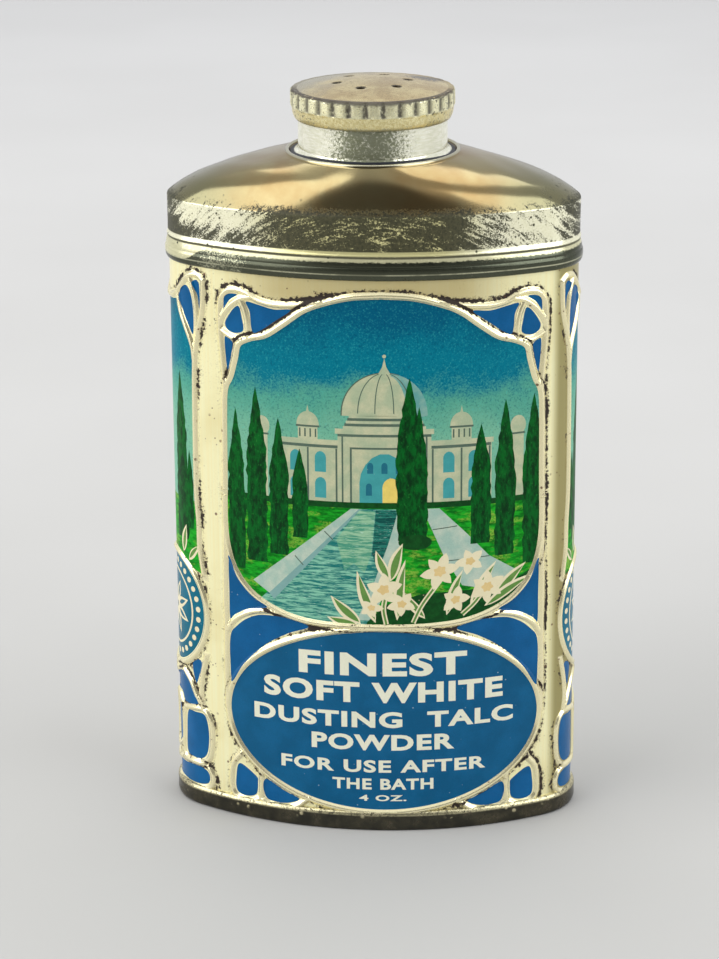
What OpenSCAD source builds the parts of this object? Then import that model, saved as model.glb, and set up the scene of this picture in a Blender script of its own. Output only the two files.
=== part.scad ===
// Oval talcum powder tin with a revolving sifter cap.
// Frame: +Z up, origin at the middle of the base, front face towards -Y, width along X.

/* [Body] */
// Width of the oval body, side to side
body_w = 61; // [56:0.5:68]
// Depth of the oval body, front to back
body_d = 30.5; // [29.5:0.5:34]
// Radius of the tight curve at each narrow end
end_r = 9; // [7.5:0.5:11]
// Thickness of the tinplate sheet
sheet = 0.3; // [0.25:0.01:0.35]

/* [Embossing] */
// Height of the embossed ribs above the sheet
rib_out = 0.25; // [0.15:0.05:0.4]
// Width of an embossed rib
rib_w = 1.1; // [0.8:0.1:1.6]
// How far the printed design sits to the right of the middle of the face
art_shift = 2.4; // [0:0.1:3]
// Width and height of the oval cartouche
cartouche_w = 49; // [40:1:50]
cartouche_h = 28.6; // [20:0.1:29]
// Height of the cartouche's middle above the base
cartouche_z = 17.8; // [17.8:0.1:19]
// Width and height of the picture panel
picture_w = 48.4; // [40:0.1:49]
picture_h = 50.2; // [40:0.1:50.6]
// Height of the picture's middle above the base
picture_z = 58.4; // [58:0.1:60]
// Radius of the picture panel's corners
picture_round = 9; // [5:0.5:12]

/* [Base] */
// Height of the rolled seam round the base
base_seam_h = 3; // [2.4:0.1:3.6]
// How far the base seam stands out from the body
base_seam_out = 0.6; // [0.5:0.05:0.8]
// Height of the sunken base panel above the table
base_panel_z = 2.2; // [1.2:0.1:2.4]

/* [Shoulder] */
// Height of the lower edge of the rolled seam under the shoulder
bead_z = 86.15; // [80:0.05:92]
// Height of that rolled seam
bead_h = 3.6; // [3:0.1:4]
// How far the seam bulges out from the body
bead_out = 0.62; // [0.5:0.01:0.8]
// Height of the upright skirt above the seam
skirt_h = 6.05; // [4:0.05:8]
// How far the skirt stands out from the body
skirt_out = 0.15; // [0.1:0.01:0.2]
// Rise of the domed top from the skirt to the neck
dome_rise = 6.4; // [5:0.1:8]

/* [Neck] */
// Outside radius of the neck
neck_r = 11; // [10.5:0.1:11.5]
// Height of the neck above the dome
neck_h = 7.95; // [7.5:0.05:8.5]
// Outside radius of the raised lip round the neck
lip_r = 12.9; // [12.8:0.05:13]

/* [Cap] */
// Outside radius of the knurled cap over the neck radius
cap_over = 1.1; // [1.1:0.05:1.2]
// Number of knurls round the cap
knurls = 30; // [20:1:36]
// Height of the knurled band
knurl_h = 1.9; // [1.5:0.1:2.1]
// Height of the plain edge that is turned in under the neck's curl
turned_edge_h = 2; // [1.8:0.1:2.1]
// Running clearance between the turned edge and the neck, on the radius
cap_clear = 0.06; // [0.02:0.01:0.1]
// Turn of the cap from open to shut, in degrees
cap_turn = 30; // [24:1:30]

/* [Sifter holes] */
// Number of powder holes
holes = 6; // [4:1:6]
// Radius of the ring that the holes lie on
hole_ring_r = 5.3; // [4.5:0.1:6.5]
// Diameter of a powder hole
hole_d = 1.2; // [1:0.1:1.6]
// Direction of the first hole, from the tin's right-hand side
first_hole = 16; // [0:1:59]
// Thickness of the paper packing disc
packing_t = 0.65; // [0.5:0.05:0.7]

/* [Hidden] */
$fn = 96;

// The oval is drawn from four arcs: two tight ends and two long flanks that meet them smoothly.
half_w = body_w / 2;
half_d = body_d / 2;
end_c = half_w - end_r;
flank_c = (end_c * end_c - pow(half_d - end_r, 2)) / (2 * (half_d - end_r));
flank_r = half_d + flank_c;
flank_half = atan2(end_c, flank_c);
end_half = 90 - flank_half;
slip = 0.02;

// Heights up the tin
bead_top = bead_z + bead_h;
skirt_top = bead_top + skirt_h;
seat_z = skirt_top + dome_rise;
body_top = bead_top - sheet;

// Raised lip and solder fillet round the neck
lip_w = 0.6;
lip_h = 0.4;
solder_r = lip_r - lip_w;
solder_h = 0.7;
solder_gap = 0.06;
clinch_w = 1.4;

// Curl at the top of the neck
curl_r = 0.35;
curl_x = neck_r + 0.15;
curl_z = seat_z + neck_h - curl_r;
neck_top = curl_z + curl_r;

// Cap, from the turned edge up to the disc
cap_r = neck_r + cap_over;
cap_in_r = neck_r + 0.6;
packing_z = neck_top + sheet + 0.05;
disc_z = packing_z + packing_t;
cap_top = disc_z + sheet;
cap_round = 0.45;
knurl_z = cap_top - cap_round - knurl_h;
edge_z = knurl_z - turned_edge_h;
edge_r = neck_r + cap_clear;
groove_r = 0.5;
groove_depth = 0.3;

// Stop: a rib inside the cap that travels in a gap in the neck's curl
stop_dir = 75;
stop_half = 2.5;
stop_play = 0.7;

// Shoulder: rings of points from the neck's circle, over the oval, down to the seam's lower edge
ring_sides = 72;
dome_steps = [0, 0.15, 0.3, 0.45, 0.6, 0.72, 0.82, 0.9, 0.96];
dome_steps_in = [1, 0.85, 0.65, 0.45, 0.2, 0];
crease = 0.35;
bead_rings = 8;
tongue = 0.05;

// Point on the four-arc oval, grown outwards by n, where its outward direction is angle a
function oval_point(a, n) =
    let (s = sin(a), c = cos(a))
    abs(s) > cos(flank_half) || abs(c) < sin(flank_half)
        ? [(flank_r + n) * c, (flank_r + n) * s - sign(s) * flank_c]
        : [(end_r + n) * c + sign(c) * end_c, (end_r + n) * s];

// Share of the dome's rise that is lost at t, from 0 at the neck to 1 at the skirt
function dome_drop(t) = 0.64 * t + 0.36 * pow(t, 4);

// Direction round the oval of point i, spread so that the tight ends get their share of points
function oval_dir(i) =
    let (u = i * 360 / ring_sides, q = floor(u / 90), v = u - q * 90,
         part = (q % 2 == 0) ? v / 90 : 1 - v / 90,
         a = part < 0.5 ? part * 2 * end_half : end_half + (part - 0.5) * 2 * flank_half)
    (q % 2 == 0) ? q * 90 + a : (q + 1) * 90 - a;

// One ring at height z: at t = 0 a circle of radius r, at t = 1 the oval grown outwards by n
function ring(t, r, n, z) =
    [for (i = [0 : ring_sides - 1])
        let (a = oval_dir(i), p = oval_point(a, n), c = atan2(p[1] / half_d, p[0] / half_w))
        [(1 - t) * r * cos(c) + t * p[0], (1 - t) * r * sin(c) + t * p[1], z]];

// Radius of a half-round bulge of height h that stands out by the given distance
function bulge_r(h, out) = (h * h / 4 + out * out) / (2 * out);

// Sweeps a flat profile round the oval; x in the profile is the distance out from the body
module oval_sweep() {
    for (side = [0, 180]) rotate([0, 0, side]) {
        translate([end_c, 0, 0]) rotate([0, 0, -end_half])
            rotate_extrude(angle = 2 * end_half) translate([end_r, 0]) children();
        translate([0, -flank_c, 0]) rotate([0, 0, 90 - flank_half])
            rotate_extrude(angle = 2 * flank_half) translate([flank_r, 0]) children();
    }
}

// Flat oval plate, grown outwards by n
module oval_plate(n, h) {
    reach = (flank_r + n) * sin(flank_half);
    linear_extrude(h) {
        intersection() {
            translate([0, flank_c]) circle(flank_r + n);
            translate([0, -flank_c]) circle(flank_r + n);
            square([2 * reach, 4 * half_d], center = true);
        }
        for (side = [-1, 1]) translate([side * end_c, 0]) circle(end_r + n);
    }
}

// Half-round bulge of height h that stands out from 0 to the given distance
module bulge(h, out) {
    r = bulge_r(h, out);
    intersection() {
        translate([out - r, h / 2]) circle(r);
        translate([slip, 0]) square([out, h]);
    }
}

// Ring of powder holes
module hole_ring(d, z, h, turn = 0) {
    for (i = [0 : holes - 1]) rotate([0, 0, first_hole + turn + i * 360 / holes])
        translate([hole_ring_r, 0, z]) cylinder(d = d, h = h);
}

// Oval tube between two distances from the body's outside
module oval_tube(n_in, n_out, z, h) {
    translate([0, 0, z]) difference() {
        oval_plate(n_out, h);
        translate([0, 0, -h]) oval_plate(n_in, 3 * h);
    }
}

// Flat oval drawn from four arcs, lying across the front face
module cartouche_outline(w, h) {
    tip_r = h / 4;
    tip_c = w / 2 - tip_r;
    side_c = (tip_c * tip_c - pow(h / 2 - tip_r, 2)) / (2 * (h / 2 - tip_r));
    side_r = h / 2 + side_c;
    reach = side_r * tip_c / norm([tip_c, side_c]);
    intersection() {
        translate([0, side_c]) circle(side_r);
        translate([0, -side_c]) circle(side_r);
        square([2 * reach, h], center = true);
    }
    for (side = [-1, 1]) translate([side * tip_c, 0]) circle(tip_r);
}

// Upright panel outline with rounded corners
module panel_outline(w, h, r) {
    square([w - 2 * r, h], center = true);
    square([w, h - 2 * r], center = true);
    for (x = [-1, 1], z = [-1, 1]) translate([x * (w / 2 - r), z * (h / 2 - r)]) circle(r);
}

// Embossed ribs that frame the picture and the cartouche on one broad face
module face_ribs() {
    reach = body_d;
    translate([art_shift, 0, 0]) rotate([90, 0, 0]) linear_extrude(reach) {
        translate([0, cartouche_z]) difference() {
            cartouche_outline(cartouche_w, cartouche_h);
            cartouche_outline(cartouche_w - 2 * rib_w, cartouche_h - 2 * rib_w);
        }
        translate([0, picture_z]) difference() {
            panel_outline(picture_w, picture_h, picture_round);
            panel_outline(picture_w - 2 * rib_w, picture_h - 2 * rib_w, picture_round - rib_w);
        }
    }
}

// Oval tube of printed tinplate, embossed front and back, with its folded side seam inside one end
module body_shell() {
    seam_w = 3;
    color("palegoldenrod") {
        oval_tube(-sheet, 0, sheet, body_top - sheet);
        intersection() {
            oval_tube(-3 * sheet, -sheet / 2, base_seam_h, bead_z - base_seam_h);
            translate([end_c, -seam_w / 2, 0]) cube([2 * end_r, seam_w, body_top]);
        }
        for (side = [0, 180]) rotate([0, 0, side]) intersection() {
            oval_tube(-sheet / 2, rib_out, base_seam_h, bead_z - base_seam_h);
            face_ribs();
        }
    }
}

// Sunken oval base whose edge is rolled round the foot of the body
module bottom_end() {
    wall_in = 2 * sheet + slip;
    color("dimgray") {
        oval_sweep() {
            translate([-wall_in, 0]) square([sheet, base_panel_z + sheet]);
            translate([-wall_in, 0]) square([wall_in + sheet, sheet]);
            bulge(base_seam_h, base_seam_out);
        }
        translate([0, 0, base_panel_z]) oval_plate(-wall_in + sheet / 2, sheet);
    }
}

// Drawn shoulder: raised lip round the neck hole, dome, crease, skirt and the half-round seam
module shoulder_dome() {
    seam_r = bulge_r(bead_h, bead_out);
    seam_half = asin(bead_h / 2 / seam_r);
    hole_r = neck_r + 0.05;
    lip_top = lip_h - lip_w / 2;
    lip = [for (a = [180 : -30 : 0])
        ring(0, lip_r - lip_w / 2 + lip_w / 2 * cos(a), 0, seat_z + lip_top + lip_w / 2 * sin(a))];
    dome = [for (t = dome_steps)
        ring(t, lip_r, skirt_out - crease / 2 * pow(t, 8), seat_z - dome_rise * dome_drop(t))];
    seam = [for (k = [0 : bead_rings])
        let (a = seam_half * (1 - 2 * k / bead_rings))
        ring(1, 0, bead_out - seam_r * (1 - cos(a)), bead_z + bead_h / 2 + seam_r * sin(a))];
    inside = [for (t = dome_steps_in)
        ring(t, lip_r, skirt_out - sheet,
            seat_z - sheet - (dome_rise - sheet / 2) * dome_drop(t))];
    rings = concat(
        [ring(0, hole_r, 0, seat_z - sheet), ring(0, hole_r, 0, seat_z),
         ring(0, solder_r, 0, seat_z)], lip, dome,
        [ring(1, 0, skirt_out, skirt_top - crease), ring(1, 0, skirt_out, bead_top)], seam,
        [ring(1, 0, slip, bead_z), ring(1, 0, slip, body_top),
         ring(1, 0, skirt_out - sheet, body_top)], inside);
    count = len(rings);
    points = [for (one = rings) each one];
    faces = [for (k = [0 : count - 1], i = [0 : ring_sides - 1], half = [0, 1])
        let (j = (i + 1) % ring_sides, m = (k + 1) % count,
             p = k * ring_sides + i, q = k * ring_sides + j,
             v = m * ring_sides + i, w = m * ring_sides + j)
        half == 0 ? [p, q, w] : [p, w, v]];
    color("darkkhaki") polyhedron(points, faces, convexity = 4);
}

// Tinned neck tube, clinched under the dome and curled outwards at the top, with a gap for the stop
module neck_collar() {
    gap = cap_turn + 2 * (stop_half + stop_play);
    foot = seat_z - 2 * sheet;
    color("silver") {
        rotate_extrude() translate([neck_r - sheet, foot]) square([sheet, neck_top - foot]);
        rotate_extrude() translate([neck_r - sheet, foot]) square([sheet + clinch_w, sheet]);
        rotate([0, 0, stop_dir + cap_turn + stop_half + stop_play])
            rotate_extrude(angle = 360 - gap) intersection() {
                translate([curl_x, curl_z]) circle(curl_r);
                translate([neck_r - tongue, curl_z - curl_r]) square([2 * curl_r, 2 * curl_r]);
            }
    }
}

// Soft-solder fillet in the corner between the neck and the dome's raised lip
module neck_solder() {
    dip_r = solder_h + 0.15;
    color("slategray") rotate_extrude() difference() {
        translate([neck_r, seat_z]) square([solder_r - solder_gap - neck_r, solder_h]);
        translate([solder_r, seat_z + solder_h + lip_h]) circle(dip_r);
    }
}

// Fixed perforated plate that plugs the neck; its holes line up with the cap's when it is open
module sifter_plate() {
    plug_r = neck_r - sheet - slip;
    plug_h = 1.6;
    color("lightgray") difference() {
        union() {
            translate([0, 0, neck_top]) cylinder(r = neck_r + 0.3, h = sheet);
            translate([0, 0, neck_top - plug_h]) difference() {
                cylinder(r = plug_r, h = plug_h + sheet / 2);
                translate([0, 0, -sheet]) cylinder(r = plug_r - sheet, h = plug_h + sheet);
            }
        }
        hole_ring(hole_d, neck_top - sheet, 3 * sheet);
    }
}

// Waxed paper disc glued inside the cap, with a hole under each of the cap's holes
module packing_disc() {
    packing_r = neck_r + 0.2;
    packing_hole_d = hole_d + 0.4;
    color("burlywood") difference() {
        translate([0, 0, packing_z]) cylinder(r = packing_r, h = packing_t);
        hole_ring(packing_hole_d, packing_z - packing_t, 3 * packing_t);
    }
}

// Outline of the cap's wall and disc, from the axis to the turned edge
module cap_profile() {
    difference() {
        union() {
            translate([0, edge_z]) polygon([
                [0, 0], [edge_r + sheet, 0], [cap_r, turned_edge_h],
                [cap_r, turned_edge_h + knurl_h], [0, turned_edge_h + knurl_h]]);
            translate([cap_r - cap_round, cap_top - cap_round]) circle(cap_round);
            translate([0, knurl_z]) square([cap_r - cap_round, cap_top - knurl_z]);
        }
        translate([0, edge_z - sheet]) square([edge_r, turned_edge_h]);
        translate([0, edge_z]) polygon([
            [0, 0], [edge_r, 0], [edge_r, sheet], [cap_in_r, turned_edge_h],
            [cap_in_r, disc_z - edge_z], [0, disc_z - edge_z]]);
        mirror([1, 0]) square([2 * cap_r, 2 * cap_top]);
    }
}

// Revolving perforated cap with a knurled rim and a stop rib inside the back
module sifter_cap() {
    rib_play = 0.05;
    color("khaki") {
        difference() {
            rotate_extrude() cap_profile();
            hole_ring(hole_d, disc_z - sheet, 3 * sheet);
            for (i = [0 : knurls - 1]) rotate([0, 0, (i + 0.5) * 360 / knurls])
                translate([cap_r + groove_r - groove_depth, 0, knurl_z])
                    cylinder(r = groove_r, h = knurl_h + cap_round + sheet, $fn = 24);
        }
        rotate([0, 0, stop_dir - stop_half]) rotate_extrude(angle = 2 * stop_half)
            translate([neck_r + 0.25, curl_z - curl_r])
                square([cap_in_r - neck_r - 0.25 + rib_play, 2 * curl_r - rib_play]);
    }
}

body_shell();
bottom_end();
shoulder_dome();
neck_collar();
neck_solder();
sifter_plate();
packing_disc();
sifter_cap();
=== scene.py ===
import math
import random
from collections import Counter
from functools import partialmethod

import bmesh
import bpy
import numpy as np
from mathutils import Matrix, Vector
from mathutils.geometry import delaunay_2d_cdt
from mathutils.kdtree import KDTree


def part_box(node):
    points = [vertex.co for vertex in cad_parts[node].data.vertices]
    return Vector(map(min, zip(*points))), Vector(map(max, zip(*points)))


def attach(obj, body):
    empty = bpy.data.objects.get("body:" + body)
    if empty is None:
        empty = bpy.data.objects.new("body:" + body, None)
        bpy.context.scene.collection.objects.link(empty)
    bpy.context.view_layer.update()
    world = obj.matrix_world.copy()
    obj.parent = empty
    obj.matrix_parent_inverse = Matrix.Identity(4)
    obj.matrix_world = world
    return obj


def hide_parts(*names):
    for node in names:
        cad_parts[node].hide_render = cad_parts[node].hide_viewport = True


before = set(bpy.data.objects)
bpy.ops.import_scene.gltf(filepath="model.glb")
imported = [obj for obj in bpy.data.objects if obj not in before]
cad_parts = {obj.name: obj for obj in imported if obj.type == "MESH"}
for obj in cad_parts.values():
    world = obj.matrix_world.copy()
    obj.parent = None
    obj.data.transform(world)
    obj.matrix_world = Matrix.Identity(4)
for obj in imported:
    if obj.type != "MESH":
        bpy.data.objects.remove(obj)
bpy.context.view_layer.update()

MM = 0.001

# ---------------------------------------------------------------- sizes, in millimetres
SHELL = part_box("body_shell")
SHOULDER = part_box("shoulder_dome")
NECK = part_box("neck_collar")
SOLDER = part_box("neck_solder")
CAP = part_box("sifter_cap")
HALF_W = SHELL[1][0] / MM
# The oval is four arcs: two flat flanks and two tight ends, each with its radius and centre
HALF_D = 15.25
END_R = 9.0
END_C = HALF_W - END_R
FLANK_C = (END_C ** 2 - (HALF_D - END_R) ** 2) / (2 * (HALF_D - END_R))
FLANK_R = HALF_D + FLANK_C
FLANK_ANGLE = math.atan2(END_C, FLANK_C)
FLANK_LEN = FLANK_R * FLANK_ANGLE
END_LEN = END_R * (math.pi - 2 * FLANK_ANGLE)
ROUND = 4 * FLANK_LEN + 2 * END_LEN
# The artwork sits a little to the right of the middle of each broad face
ART_SHIFT = 2.4
# Heights from the foot up: the seam under the skirt, the skirt, and the neck's seat on the dome
BEAD_Z = SHOULDER[0][2] / MM
BEAD_H = 3.6
SKIRT_OUT = 0.15
SEAM_TOP = BEAD_Z + BEAD_H
SKIRT_TOP = SEAM_TOP + 6.05
SEAT_Z = SOLDER[0][2] / MM
NECK_R = 11.0
CAP_TOP = CAP[1][2] / MM
CAP_R = CAP[1][0] / MM


# ---------------------------------------------------------------- camera
def make_camera():
    """Camera at the viewing angle: a little to the right, looking 18 degrees down."""
    pitch, yaw, roll = math.radians(18.06), math.radians(-5.14), math.radians(-0.33)
    forward = Vector((math.sin(yaw) * math.cos(pitch), math.cos(yaw) * math.cos(pitch),
                      -math.sin(pitch)))
    side = Vector((math.cos(yaw), -math.sin(yaw), 0))
    up = side.cross(forward)
    right = math.cos(roll) * side + math.sin(roll) * up
    above = math.cos(roll) * up - math.sin(roll) * side
    data = bpy.data.cameras.new("camera")
    data.sensor_width = 36
    data.lens = 116.6
    data.clip_start = 0.01
    data.dof.use_dof = False
    cam = bpy.data.objects.new("camera", data)
    cam.matrix_world = Matrix((
        (right.x, above.x, -forward.x, 0.0380),
        (right.y, above.y, -forward.y, -0.4475),
        (right.z, above.z, -forward.z, 0.1976),
        (0, 0, 0, 1)))
    bpy.context.scene.collection.objects.link(cam)
    bpy.context.scene.camera = cam


make_camera()


# ---------------------------------------------------------------- the oval
def oval(u, n):
    """Point and outward direction at arc length u from the front's middle, n out from the body."""
    u = np.asarray(u, float)
    q, s = np.abs(u), np.where(u < 0, -1.0, 1.0)
    angle = np.where(q <= FLANK_LEN, q / FLANK_R,
                     np.where(q <= FLANK_LEN + END_LEN,
                              FLANK_ANGLE + (q - FLANK_LEN) / END_R,
                              math.pi - FLANK_ANGLE + (q - FLANK_LEN - END_LEN) / FLANK_R))
    at_end = (q > FLANK_LEN) & (q <= FLANK_LEN + END_LEN)
    radius = np.where(at_end, END_R, FLANK_R) + n
    cx = np.where(at_end, END_C, 0.0)
    cy = np.where(at_end, 0.0, np.where(q <= FLANK_LEN, FLANK_C, -FLANK_C))
    nx, ny = s * np.sin(angle), -np.cos(angle)
    return s * cx + radius * nx, cy + radius * ny, nx, ny


# ---------------------------------------------------------------- mesh helpers
def new_object(name, verts, faces, material, body="tin", normals=None):
    """Smooth mesh object from millimetre vertices, riding on a CAD body."""
    mesh = bpy.data.meshes.new(name)
    mesh.from_pydata((np.asarray(verts, float) * MM).tolist(), [], [list(f) for f in faces])
    mesh.validate()
    mesh.polygons.foreach_set("use_smooth", [True] * len(mesh.polygons))
    if normals is not None:
        mesh.normals_split_custom_set_from_vertices(np.asarray(normals).tolist())
    mesh.materials.append(material)
    obj = bpy.data.objects.new(name, mesh)
    bpy.context.scene.collection.objects.link(obj)
    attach(obj, body)
    return obj


def set_attribute(obj, name, values):
    """One number for each point of a mesh, for its material to read."""
    attr = obj.data.attributes.new(name, "FLOAT", "POINT")
    attr.data.foreach_set("value", np.asarray(values, np.float32))


def grid_faces(rows, cols, wrap_rows=False):
    """Quads between rows of points, each of which is a closed ring."""
    faces = []
    for i in range(rows if wrap_rows else rows - 1):
        k = (i + 1) % rows
        for j in range(cols):
            m = (j + 1) % cols
            faces.append((i * cols + j, i * cols + m, k * cols + m, k * cols + j))
    return faces


def smooth_path(points, step=0.5, closed=False):
    """Catmull-Rom curve through the points, sampled about every step millimetres."""
    pts = np.asarray(points, float)
    if closed:
        pts = np.concatenate([pts[-1:], pts, pts[:2]])
    else:
        pts = np.concatenate([2 * pts[:1] - pts[1:2], pts, 2 * pts[-1:] - pts[-2:-1]])
    out = []
    for p0, p1, p2, p3 in zip(pts, pts[1:], pts[2:], pts[3:]):
        k = max(1, math.ceil(np.linalg.norm(p2 - p1) / step))
        t = (np.arange(k) / k)[:, None]
        out.append(0.5 * ((2 * p1) + (p2 - p0) * t + (2 * p0 - 5 * p1 + 4 * p2 - p3) * t ** 2
                          + (3 * p1 - p0 - 3 * p2 + p3) * t ** 3))
    if not closed:
        out.append(pts[-2:-1])
    return np.concatenate(out)


def line_path(points, step=0.5, closed=False):
    """Straight-sided path, sampled about every step millimetres."""
    pts = np.asarray(points, float)
    ends = np.concatenate([pts, pts[:1]]) if closed else pts
    out = []
    for a, b in zip(ends[:-1], ends[1:]):
        k = max(1, int(math.ceil(np.linalg.norm(b - a) / step)))
        out.append(a + (b - a) * (np.arange(k) / k)[:, None])
    if not closed:
        out.append(ends[-1:])
    return np.concatenate(out)


def ellipse(cx, cz, rx, rz, count=24, start=0.0, sweep=360.0):
    """Points round an ellipse, or along part of it; angles are in degrees."""
    a = np.radians(start + sweep * np.arange(count) / count)
    return np.stack([cx + rx * np.cos(a), cz + rz * np.sin(a)], 1)


def mirrored(path):
    """The same path on the other half of the design."""
    return (np.asarray(path, float) * [-1, 1])[::-1]


def offset_path(path, d, closed=False):
    """Path moved sideways by d, to the left of its direction when d is positive."""
    p = np.asarray(path, float)
    if closed:
        t = np.roll(p, -1, 0) - np.roll(p, 1, 0)
    else:
        t = np.gradient(p, axis=0)
    t /= np.maximum(np.linalg.norm(t, axis=1), 1e-9)[:, None]
    return p + d * np.stack([-t[:, 1], t[:, 0]], 1)


def in_box(poly, pts):
    """Indices of the points within the polygon's upright box."""
    return np.nonzero(np.all((pts >= poly.min(0)) & (pts <= poly.max(0)), axis=1))[0]


def inside(poly, pts):
    """Which points are inside the closed polygon, by the even-odd rule."""
    near = in_box(poly, pts)
    x, y = pts[near].T
    odd = np.zeros(len(near), bool)
    for (ax, ay), (bx, by) in zip(poly, np.roll(poly, -1, 0)):
        if ay != by:
            odd ^= ((ay > y) != (by > y)) & (x < (bx - ax) * (y - ay) / (by - ay) + ax)
    result = np.zeros(len(pts), bool)
    result[near] = odd
    return result


def triangulated(points, edges):
    """Triangles over all the points that follow every edge, with the points they use."""
    out = delaunay_2d_cdt([Vector(p) for p in points], edges, [], 0, 1e-5)
    return np.array([(v.x, v.y) for v in out[0]]), np.array(out[2])


# ---------------------------------------------------------------- the embossed ribs
# The design is drawn flat, in millimetres: x from the middle of a broad face, z above the base.
# It covers half of the way round the tin, is used front and back, and is the same left and right.
RIB_W = 0.64
RIB_H = 0.4
ART_LOW, ART_HIGH = 1.2, 88.2
SIDE_X = ROUND / 4

FRAME_HALF = [(0, 84.0), (-4.5, 83.7), (-8.5, 82.7), (-11.6, 81.4), (-14.6, 79.2), (-17.4, 77.3),
              (-20.0, 76.5), (-21.9, 75.4), (-22.5, 73.2), (-23.3, 70.4), (-24.3, 68.2), (-24.55, 64),
              (-24.65, 55), (-24.75, 47.5), (-24.2, 43.0), (-22.8, 39.6), (-20.4, 36.9),
              (-17.0, 34.9), (-12.5, 33.5), (-7.0, 32.95), (0, 32.85)]
CORNER_TOP = [(-8.5, 82.9), (-12, 82.2), (-16, 81.95), (-18.6, 82.4), (-20.5, 83.3), (-22.4, 83.6),
              (-23.9, 83.1), (-24.85, 81.6), (-25.0, 79.0), (-24.9, 76.0), (-24.6, 72.5),
              (-24.35, 69.5), (-24.3, 68.2)]
CORNER_ARC = [(-24.95, 78.4), (-24.3, 79.7), (-23.0, 81.2), (-21.4, 82.3), (-19.6, 82.8)]
CORNER_BAR = [(-21.4, 82.2), (-20.7, 80.6), (-20.3, 78.8), (-20.2, 76.6)]
CORNER_LINK = [(-21.4, 76.2), (-23.0, 76.3), (-24.9, 77.3)]
LOWER_LEFT = [(-24.7, 46.5), (-24.8, 42.0), (-24.9, 36.0), (-24.8, 31.0), (-24.9, 26.0),
              (-24.9, 21.5), (-24.85, 17.6)]
LOWER_ARC = [(-24.8, 29.8), (-23.4, 31.9), (-21.2, 33.4), (-18.6, 34.2), (-15.5, 34.3)]
FOOT_OUT = [(-22.6, 10.2), (-24.0, 8.4), (-24.4, 5.6), (-24.1, 3.6), (-22.6, 2.7), (-20.8, 2.6),
            (-19.3, 3.3), (-17.8, 2.7), (-15.4, 2.4), (-13.2, 3.1), (-11.4, 4.6)]
FOOT_BAR = [(-19.3, 8.4), (-19.1, 6.0), (-19.3, 3.3)]
CARTOUCHE = ellipse(0, 17.75, 24.75, 14.95, 150, 90)

SIDE_POST = [(-27.9, 84.2), (-28.0, 81.5), (-28.3, 79.0), (-29.2, 75.6), (-29.8, 71.5),
             (-30.0, 64), (-30.05, 52), (-29.7, 46.5), (-29.6, 42.2), (-28.9, 38.2)]
SIDE_POST_LOW = [(-28.8, 24.8), (-29.6, 21.5), (-29.9, 18.5), (-29.5, 15.9)]
SIDE_TOP = [(-27.9, 84.2), (-29.0, 84.9), (-30.6, 84.6), (-32.2, 83.0), (-33.6, 81.6),
            (-35.2, 80.8), (-SIDE_X, 80.6)]
SIDE_SCOOP = [(-33.3, 81.8), (-32.6, 79.0), (-31.4, 76.6), (-30.2, 74.0), (-29.8, 71.5)]
SIDE_BAR = [(-30.6, 84.6), (-29.6, 82.0), (-29.2, 79.0), (-29.2, 75.6)]
MEDAL_Z = 31.3
MEDAL_R = 8.35
MEDAL_HALF = ellipse(-SIDE_X, MEDAL_Z, MEDAL_R, MEDAL_R + 0.9, 49, -90, 183.75)
WHIP_A = [(-SIDE_X, 20.4), (-34.6, 21.6), (-32.4, 20.4), (-30.8, 18.0), (-29.5, 15.9)]
WHIP_B = [(-33.9, 15.3), (-31.5, 15.8), (-29.5, 15.9), (-28.2, 14.4), (-27.9, 11.5), (-28.4, 8.3),
          (-30.0, 6.9), (-32.6, 6.8), (-34.2, 7.4), (-34.4, 10.5), (-33.9, 15.3)]
WHIP_C = [(-SIDE_X, 6.0), (-34.2, 6.6), (-31.0, 6.9), (-28.8, 6.5), (-27.9, 5.0), (-28.3, 3.3),
          (-30.2, 2.6), (-33.4, 2.5), (-SIDE_X, 2.9)]
WHIP_D = [(-SIDE_X, 17.2), (-35.4, 16.6), (-34.6, 14.6), (-34.4, 12.0), (-34.6, 9.0), (-SIDE_X, 8.0)]

# Each rib of the left half: path, the side of it that holds a dark line of grime (0 for none),
# and how dark that line is on the left copy and on the right copy
RIB_HALVES = [(FRAME_HALF, -1, 1.1, 1.1), (CORNER_TOP, -1, 1.0, 1.0), (CORNER_ARC, 0, 0, 0),
              (CORNER_BAR, 0, 0, 0), (CORNER_LINK, 0, 0, 0), (LOWER_LEFT, -1, 0.3, 1.0),
              (LOWER_ARC, 0, 0, 0), (FOOT_OUT, -1, 0.8, 1.0), (FOOT_BAR, 0, 0, 0),
              (SIDE_POST, 1, 0.8, 0.6), (SIDE_POST_LOW, 1, 0.8, 0.6), (SIDE_TOP, -1, 0.8, 0.8),
              (SIDE_SCOOP, 0, 0, 0), (SIDE_BAR, 0, 0, 0), (WHIP_A, 1, 0.8, 0.6),
              (WHIP_B, 1, 0.9, 0.7), (WHIP_C, 1, 0.8, 0.7), (WHIP_D, 0, 0, 0)]


def rib_paths():
    """Every rib of one broad face as (path, side of the grime, darkness of the grime)."""
    ribs = []
    for half, side, left, right in RIB_HALVES:
        path = smooth_path(half, 0.4)
        ribs.append((path, side, left))
        ribs.append((mirrored(path), side, right))
    ribs.append((np.concatenate([CARTOUCHE, CARTOUCHE[:1]]), -1, 0.85))
    ribs.append((MEDAL_HALF, -1, 0.7))
    ribs.append((mirrored(MEDAL_HALF), -1, 0.7))
    return ribs


RIBS = rib_paths()


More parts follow.
